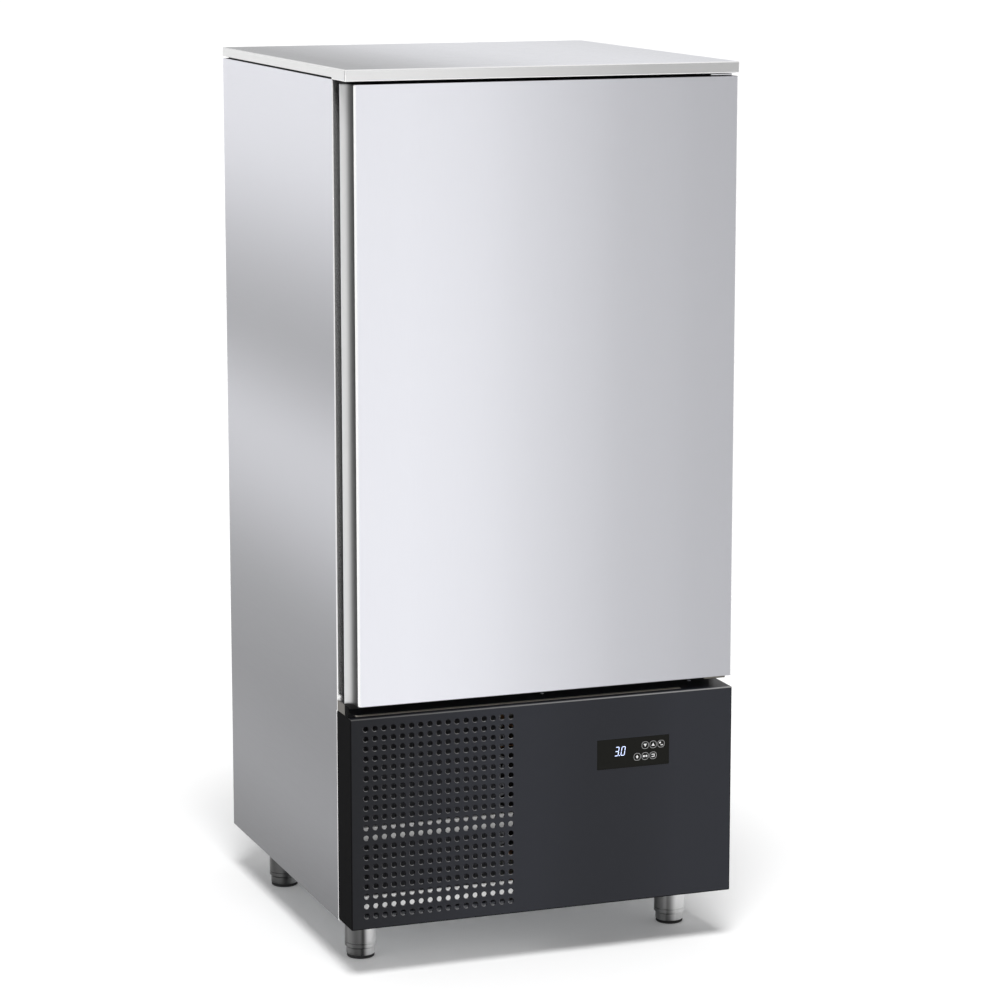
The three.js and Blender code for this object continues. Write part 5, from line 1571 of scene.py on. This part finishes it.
def tube(form, path, radius, sides=16):
    """Carries a circle along a path and closes both ends."""
    heading = (path[1] - path[0]).normalized()
    side = heading.orthogonal().normalized()
    rings = []
    for i, spot in enumerate(path):
        nearby = path[min(i + 1, len(path) - 1)] - path[max(i - 1, 0)]
        new_heading = nearby.normalized()
        side = heading.rotation_difference(new_heading) @ side
        heading = new_heading
        other = heading.cross(side)
        turns = [math.tau * k / sides for k in range(sides)]
        rings.append([
            form.verts.new(spot + radius * (math.cos(turn) * side + math.sin(turn) * other)) for turn in turns
        ])
    join_rings(form, rings)


def tubes(name, paths, radius, paint, slot, *nodes, sides=16):
    """Tubes along several paths, as one piece."""
    form = bmesh.new()
    for path in paths:
        tube(form, path, radius, sides)
    return add_piece(name, form, paint, slot, *nodes, angle=SHARP)


def bent_strip(form, path, thickness, width, place):
    """A flat strip along a path in its own X-Z plane, set in place by a matrix."""
    offsets = []
    for i, spot in enumerate(path):
        along = (path[min(i + 1, len(path) - 1)] - path[max(i - 1, 0)]).normalized()
        offsets.append(Vector((-along.z, 0, along.x)) * thickness / 2)
    rings = []
    for spot, offset in zip(path, offsets):
        across = Vector((0, width / 2, 0))
        upper, lower = spot + offset, spot - offset
        corners = (upper - across, upper + across, lower + across, lower - across)
        rings.append([form.verts.new(place @ corner) for corner in corners])
    join_rings(form, rings)


ARM_ANGLES = (-90, 30, 150)
MOTOR_RADIUS = 0.044
ARM_RADIUS = 0.1525


def make_motor(node, centre, slot, paint):
    """A can with cooling ribs, its shaft, and three arms that stand on the plate before it."""
    low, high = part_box(node)
    fan_end = high.y - 0.052
    ribs = [(MOTOR_RADIUS, fan_end + 0.007)]
    for k in range(6):
        at = fan_end + 0.012 + 0.005 * k
        ribs += [
            (MOTOR_RADIUS, at), (MOTOR_RADIUS - 0.0018, at + 0.0004),
            (MOTOR_RADIUS - 0.0018, at + 0.0026), (MOTOR_RADIUS, at + 0.003),
        ]
    form = bmesh.new()
    turned(form, [
        (0, fan_end - 0.0145), (0.0048, fan_end - 0.0145), (0.0048, fan_end + 0.0002),
        (0.018, fan_end + 0.0002), (0.020, fan_end + 0.003), (MOTOR_RADIUS - 0.004, fan_end + 0.003),
        (MOTOR_RADIUS, fan_end + 0.005), *ribs, (MOTOR_RADIUS, high.y - 0.004),
        (MOTOR_RADIUS - 0.004, high.y), (0, high.y),
    ], (centre[0], 0, centre[1]), 48, "Y")
    plate = low.y if low.y < fan_end - 0.02 else fan_end - 0.0335
    for angle in ARM_ANGLES:
        level = fan_end + 0.0018
        points = [(0.012, 0, level), (ARM_RADIUS, 0, level), (ARM_RADIUS, 0, plate + 0.0003)]
        path = rounded_path(points, 0.006, 5)
        place = (
            Matrix.Translation((centre[0], 0, centre[1])) @ Matrix.Rotation(math.radians(-angle), 4, "Y")
            @ Matrix(((1, 0, 0, 0), (0, 0, 1, 0), (0, -1, 0, 0), (0, 0, 0, 1)))
        )
        bent_strip(form, path, 0.0028, 0.010, place)
    return add_piece(node + "_can", form, paint, slot, node, angle=SHARP)


for number, centre in enumerate(FAN_CENTRES, 1):
    make_motor(f"evaporator_motor_{number}", centre, "aluminium", aluminium)

# %% [markdown]
# ## Coils
# Both heat exchangers are packs of thin fins on copper tubes that turn back in hairpins at the ends.
# One fin is a folded strip of a few faces, and a tree repeats it at the fins' pitch. The hairpin
# is one bent tube, repeated the same way. The condenser's fins and the bends at its end share one
# near-black colour. Two zinc-coated straps hold it at the front, and they are what shines through
# the cover's holes; the upper strap's colour is painted darker, as shade.

# %% Coils
dark_fin = surface("coated_fin", (0.030, 0.031, 0.035), 0.6, 0.0, 90, 0.2, 0.08, 0.05)
# The straps' colour is painted lighter on the lower strap and darker on the upper one: painted shade.
strap_zinc = surface(
    "zinc_strap", (0.92, 0.92, 0.91), 0.5, 0.6, 60, 0.12, 0.08, 0.05,
    ("Z", 0.10, 0.28, [(0.0, 1.0), (0.3, 1.0), (0.7, 0.45), (1.0, 0.45)]),
)
bright_fin = surface("bright_fin", (0.74, 0.75, 0.76), 0.38, 1, 80, 0.1, 0.08, 0.04)


def fin_pack(name, low, high, pitch, paint, thickness=0.0003, folds=4):
    """Fins that stand across X and fill a box."""
    count = int((high.x - low.x - thickness) / pitch) + 1
    form = bmesh.new()
    depth = (high.y - low.y) / folds
    front, rear = [], []
    for k in range(folds + 1):
        x = low.x + (0.0007 if k % 2 else 0.0)
        front.append((x, low.y + k * depth))
        rear.append((x + thickness, low.y + k * depth))
    prism(form, front[::-1] + rear, low.z, high.z)
    fin = make_piece(name, form, paint)
    print(name, count, "fins")
    return repeated(fin, count, (pitch, 0.0, 0.0), paint)


def hairpins(name, x, outward, places, pitch, rows, row_step, radius, reach, paint):
    """Return bends on an end plate: one drawn, the rest repeated upwards."""
    form = bmesh.new()
    for y, z in places:
        path = rounded_path([
            (x, y, z), (x + outward * reach, y, z), (x + outward * reach, y, z + pitch), (x, y, z + pitch),
        ], pitch / 2 - 0.0002, 5)
        tube(form, path, radius, 10)
    piece = sharpen(make_piece(name, form, paint))
    return repeated(piece, 1, (0.0, 0.0, 0.0), paint, rows, (0.0, 0.0, row_step))


def end_plates(name, low, high, plate, radius, paint):
    """The two plates that the tubes of a coil pass through."""
    for x, label in ((low.x, "left"), (high.x - plate, "right")):
        centre = (x + plate / 2, (low.y + high.y) / 2, (low.z + high.z) / 2)
        size = (plate, high.y - low.y, high.z - low.z)
        box_piece(f"{name}_plate_{label}", centre, size, radius, 2, paint, "aluminium", name + "_coil")


STUB_Y, STUB_END = -0.293, -0.0387
DISCHARGE_LEVEL, LIQUID_LEVEL = 0.4103, 0.1343
CONDENSER_LOW, CONDENSER_HIGH = Vector((-0.367, -0.318, 0.1003)), Vector((-0.057, -0.268, 0.4783))
STRAPS = ((0.248, 0.2772), (0.1045, 0.138))
STRAP_RIGHT = -0.015


def make_condenser():
    low, high = CONDENSER_LOW, CONDENSER_HIGH
    inset = Vector((0.0025, 0.001, 0.002))
    fins = fin_pack("condenser_fins", low + inset, high - inset, 0.0034, dark_fin)
    place_piece(fins, "cabinet", "aluminium", "condenser_coil")
    end_plates("condenser", low, high, 0.0016, 0.0005, galvanised)
    bends = hairpins(
        "condenser_hairpins", high.x - 0.001, 1, [(-0.307, 0.1125), (-0.279, 0.1125)],
        0.025, 7, 0.050, 0.004, 0.014, dark_fin,
    )
    place_piece(bends, "cabinet", "copper")
    stubs = [
        [Vector((high.x + x, STUB_Y, z)) for x in (-0.002, 0.018)] for z in (DISCHARGE_LEVEL, LIQUID_LEVEL)
    ]
    tubes("condenser_stubs", stubs, 0.0069, copper, "aluminium", "condenser_coil", sides=20)
    for number, (bottom, top) in enumerate(STRAPS, 1):
        form = bmesh.new()
        outline = [
            (low.y - 0.0002, bottom), (low.y - 0.009, bottom), (low.y - 0.009, bottom + 0.0015),
            (low.y - 0.0017, bottom + 0.0015), (low.y - 0.0017, top - 0.0015), (low.y - 0.009, top - 0.0015),
            (low.y - 0.009, top), (low.y - 0.0002, top),
        ]
        extrude(form, outline, low.x + 0.001, STRAP_RIGHT)
        round_edges(form, 0.0006, None, 2, 60)
        add_piece(f"condenser_strap_{number}", form, strap_zinc, "galvanised")


def make_evaporator():
    low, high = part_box("evaporator_coil")
    plate = 0.003
    pack_low = Vector((low.x + plate + 0.001, low.y + plate + 0.001, low.z + plate + 0.001))
    pack_high = Vector((high.x - plate - 0.001, 0.3155, high.z - plate - 0.001))
    fins = fin_pack("evaporator_fins", pack_low, pack_high, 0.006, bright_fin)
    place_piece(fins, "cabinet", "aluminium", "evaporator_coil")
    end_plates("evaporator", low, high, plate, 0.0008, aluminium)
    ends = (("left", low.x + 0.0005, -1, 0.680), ("right", high.x - 0.0005, 1, 0.715))
    for label, x, outward, first in ends:
        bends = hairpins(
            f"evaporator_hairpins_{label}", x, outward, [(0.235, first), (0.270, first), (0.300, first)],
            0.035, 13, 0.070, 0.0055, 0.020, copper,
        )
        place_piece(bends, "cabinet", "copper")


make_condenser()
make_evaporator()

# %% [markdown]
# ## Condensing unit
# The shroud, fan and motor draw air through the condenser. The compressor is two pressed shells
# with a welded seam at its waist, two tube ends, a terminal cover and a foot plate on rubber
# mounts. The receiver is a small domed vessel. All the copper lines are swept tubes on the solids'
# own routes.

# %% Condensing unit
PIPE_RADIUS = 0.006
PIPE_BEND = 0.034
COMPRESSOR_X, COMPRESSOR_Y = 0.165, 0.130
DISCHARGE_X, SUCTION_X = 0.120, 0.210
PORT_TOP = 0.3566
CONDENSER_FAN = (-0.212, 0.2893)


def vessel_profile(bottom, top, radius, dome, seam=None):
    """A pressed vessel's profile with domed ends and an optional welded seam."""
    angles = (20, 40, 58, 74, 90)
    profile = [(0, bottom), *quarter(0, bottom + dome, radius, -dome, angles)]
    if seam:
        profile += [
            (radius, seam - 0.005), (radius + 0.0022, seam - 0.0035), (radius + 0.0026, seam),
            (radius + 0.0022, seam + 0.0035), (radius - 0.001, seam + 0.005),
        ]
    upper = radius - (0.001 if seam else 0)
    return profile + quarter(0, top - dome, upper, dome, angles[::-1]) + [(0, top)]


def make_compressor():
    x, y, radius = COMPRESSOR_X, COMPRESSOR_Y, 0.098
    bottom, top = 0.1158, 0.3383
    form = bmesh.new()
    turned(form, vessel_profile(bottom, top, radius - 0.004, 0.045, 0.205), (x, y, 0), 64)
    add_piece("compressor_shell", form, enamel, "black_enamel", "compressor", angle=SHARP)
    box_piece(
        "compressor_plate", (x, y, 0.1138), (2 * radius, 2 * radius, 0.003), 0.018, 5, enamel, "black_enamel",
        "compressor", pick=lambda edge: abs(edge.verts[0].co.z - edge.verts[1].co.z) > 0.001,
    )
    for number, (i, j) in enumerate(((-1, -1), (1, -1), (-1, 1), (1, 1)), 1):
        form = bmesh.new()
        spot = (x + i * 0.084, y + j * 0.084, 0)
        turned(form, [
            (0.004, 0.1003), (0.012, 0.1003), (0.012, 0.1035), (0.0095, 0.105), (0.0095, 0.107),
            (0.012, 0.1085), (0.012, 0.1121), (0.004, 0.1121),
        ], spot, 24)
        turned(form, [(0, 0.1155), (0.007, 0.1155), (0.007, 0.1195), (0.006, 0.1203), (0, 0.1203)], spot, 6)
        add_piece(f"compressor_mount_{number}", form, rubber, "gasket_rubber")
    ports = [[Vector((x + side * 0.045, y, z)) for z in (0.300, 0.3563)] for side in (-1, 1)]
    tubes("compressor_ports", ports, 0.0069, copper, "black_enamel", "compressor", sides=20)
    box_piece(
        "compressor_terminal_cover", (x, y - 0.1, 0.242), (0.062, 0.036, 0.07), 0.006, 4, black_plastic,
        "black_plastic", pick=lambda edge: any(v.co.y < y - 0.11 for v in edge.verts),
    )


def make_receiver():
    x, y = 0.327, 0.190
    form = bmesh.new()
    turned(form, vessel_profile(0.1003, 0.3303, 0.042, 0.022), (x, y, 0), 48)
    add_piece("receiver_vessel", form, enamel, "black_enamel", "receiver", angle=SHARP)
    crossing, low, high = -0.100, LIQUID_LEVEL, 0.3983
    line = rounded_path([
        (STUB_END, STUB_Y, low), (STUB_END + 0.068, STUB_Y, low), (STUB_END + 0.068, crossing, low),
        (x, crossing, low), (x, crossing, high), (x, y, high), (x, y, 0.3283),
    ], PIPE_BEND, 8)
    tubes("liquid_line", [line], PIPE_RADIUS, copper, "black_enamel", "receiver")


def make_lines():
    x, y, level, turn = DISCHARGE_X, COMPRESSOR_Y, DISCHARGE_LEVEL, 0.029
    discharge = rounded_path([
        (x, y, PORT_TOP), (x, y, level), (turn, y, level), (turn, STUB_Y, level), (STUB_END, STUB_Y, level),
    ], PIPE_BEND, 8)
    tubes("discharge_line", [discharge], PIPE_RADIUS, copper, "copper", "discharge_pipe")
    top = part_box("suction_pipe")[1]
    x, level, riser = SUCTION_X, 0.4243, 0.296
    suction = rounded_path([
        (x, y, PORT_TOP), (x, y, level), (x, riser, level), (x, riser, top.z),
    ], PIPE_BEND, 8)
    tubes("suction_line", [suction], PIPE_RADIUS, copper, "copper", "suction_pipe")
    sleeve = [[Vector((x, 0.175, level)), Vector((x, 0.255, level))]]
    tubes("suction_insulation", sleeve, 0.0125, rubber, "gasket_rubber", sides=24)


def make_electric_box():
    low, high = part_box("electric_box")
    split = low.y + 0.022
    x, z = (low.x + high.x) / 2, (low.z + high.z) / 2
    wide, tall = high.x - low.x, high.z - low.z
    base = ((x, (split + high.y) / 2 + 0.0005, z), (wide - 0.004, high.y - split - 0.001, tall - 0.004))
    lid = ((x, (low.y + split) / 2, z), (wide, split - low.y, tall))
    kind = (pale_plastic, "pale_plastic", "electric_box")
    box_piece("electric_box_base", *base, 0.003, 3, *kind)
    box_piece("electric_box_lid", *lid, 0.004, 4, *kind)
    spots = [
        (x, low.y, z) for x in (low.x + 0.012, high.x - 0.012) for z in (low.z + 0.012, high.z - 0.012)
    ]
    screws("electric_box_screws", spots, (0, -1, 0), 0.004, 0.002)
    form = bmesh.new()
    for x in (0.205, 0.245, 0.285):
        turned(form, [
            (0.005, low.z - 0.018), (0.009, low.z - 0.018), (0.0105, low.z - 0.014), (0.0105, low.z - 0.007),
            (0.012, low.z - 0.0065), (0.012, low.z + 0.003), (0.005, low.z + 0.003),
        ], (x, -0.262, 0), 24)
    add_piece("electric_box_glands", form, black_plastic, "black_plastic", angle=SHARP)


def make_gland():
    low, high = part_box("inlet_gland")
    x, y = (low.x + high.x) / 2, (low.y + high.y) / 2
    form = bmesh.new()
    turned(form, [
        (0.0062, high.z - 0.009), (0.0136, high.z - 0.009), (0.0139, high.z - 0.0082), (0.0139, high.z),
        (0.0062, high.z),
    ], (x, y, 0), 6)
    for face in form.faces:
        face.smooth = False
    turned(form, [
        (0.006, low.z), (0.008, low.z), (0.0098, low.z + 0.0012), (0.011, low.z + 0.004),
        (0.011, high.z - 0.0091), (0.006, high.z - 0.0091),
    ], (x, y, 0), 40)
    add_piece("inlet_gland_turned", form, black_plastic, "black_plastic", "inlet_gland", angle=30)


dress("condenser_shroud", "condenser_shroud_sheet", "cabinet", "galvanised", 0.0006, galvanised,
      pick=lambda edge: edge.calc_length() > 0.04)
make_fan("condenser_fan", CONDENSER_FAN)
make_motor("condenser_motor", CONDENSER_FAN, "black_enamel", enamel)
make_compressor()
make_receiver()
make_lines()
make_electric_box()
make_gland()
dress("evaporation_tray", "evaporation_tray_sheet", "cabinet", "galvanised", 0.0006, galvanised)
dress("evaporator_drip_tray", "evaporator_drip_tray_sheet", "cabinet", "stainless", 0.0006, steel)
dress("base_plate", "base_plate_sheet", "cabinet", "galvanised", 0.0010, galvanised)

# %% [markdown]
# ## Back
# The rear sheet is zinc-coated and has rows of louvres for the machine compartment. Each louvre is
# a slot with a hood pressed inwards over it, so that nothing stands out behind the machine. One hood
# is drawn as a thin curved shell with closed ends, and a tree sets it over every slot.

# %% Back panel
LOUVRE_ROWS = 12
LOUVRE_PITCH = 0.024
LOUVRE_FIRST = 0.157
LOUVRE_HALF = 0.135
LOUVRE_SPREAD = 0.3923
HOOD_DEPTH = 0.0085
HOOD_RISE = 0.0125


def make_back():
    low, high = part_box("back_panel")
    form = solid_form("back_panel")
    round_edges(form, 0.0006, lambda edge: edge.calc_length() > 0.5, 2, 60)
    add_piece("back_sheet", form, galvanised, "galvanised", "back_panel")
    wall = 0.0009
    base = low.y - 0.0001
    slot_bottom = LOUVRE_FIRST - 0.004
    outer = quarter(base, slot_bottom, -HOOD_DEPTH, HOOD_RISE)
    inner = quarter(base, slot_bottom, wall - HOOD_DEPTH, HOOD_RISE - wall)
    form = bmesh.new()
    left, right = -LOUVRE_SPREAD / 2 - LOUVRE_HALF, -LOUVRE_SPREAD / 2 + LOUVRE_HALF
    extrude(form, outer + inner[::-1], left - 0.001, right + 0.001)
    cheek = outer + [(base, slot_bottom)]
    extrude(form, cheek, left - 0.0019, left - 0.0011)
    extrude(form, cheek, right + 0.0011, right + 0.0019)
    hood = sharpen(make_piece("back_hoods", form, galvanised), 30)
    repeated(hood, 2, (LOUVRE_SPREAD, 0.0, 0.0), galvanised, LOUVRE_ROWS, (0.0, 0.0, LOUVRE_PITCH))
    place_piece(hood, "cabinet", "galvanised")
    edges = [
        (sx * (high.x - 0.012), high.y - 0.0003, low.z + share * (high.z - low.z))
        for sx in (-1, 1) for share in (0.02, 0.21, 0.4, 0.6, 0.79, 0.98)
    ]
    edges += [(x, high.y - 0.0003, z) for x in (-0.13, 0.13) for z in (high.z - 0.012, low.z + 0.03)]
    screws("back_screws", edges, (0, 1, 0), 0.0042, 0.0007)


make_back()

# %% [markdown]
# ## Solids that stay as they are
# Foam never shows except at a seam, so its solids keep their shape and only get a finish. Under the
# worktop its colour is painted near-black as shade, which shows as the fine dark line round the top.

# %% Finishes of the solids
def paint_node(node, paint):
    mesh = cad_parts[node].data
    mesh.materials.clear()
    mesh.materials.append(paint)


# The foam under the worktop is painted near-black: painted shade in the gap round the top.
sealed_foam = surface("sealed_foam", (0.02, 0.02, 0.02), 0.8, 0, 160, 0.12, 0.05, 0.2)
for node in ("wall_left", "wall_right", "wall_floor", "wall_rear", "door_core"):
    paint_node(node, foam)
paint_node("wall_ceiling", sealed_foam)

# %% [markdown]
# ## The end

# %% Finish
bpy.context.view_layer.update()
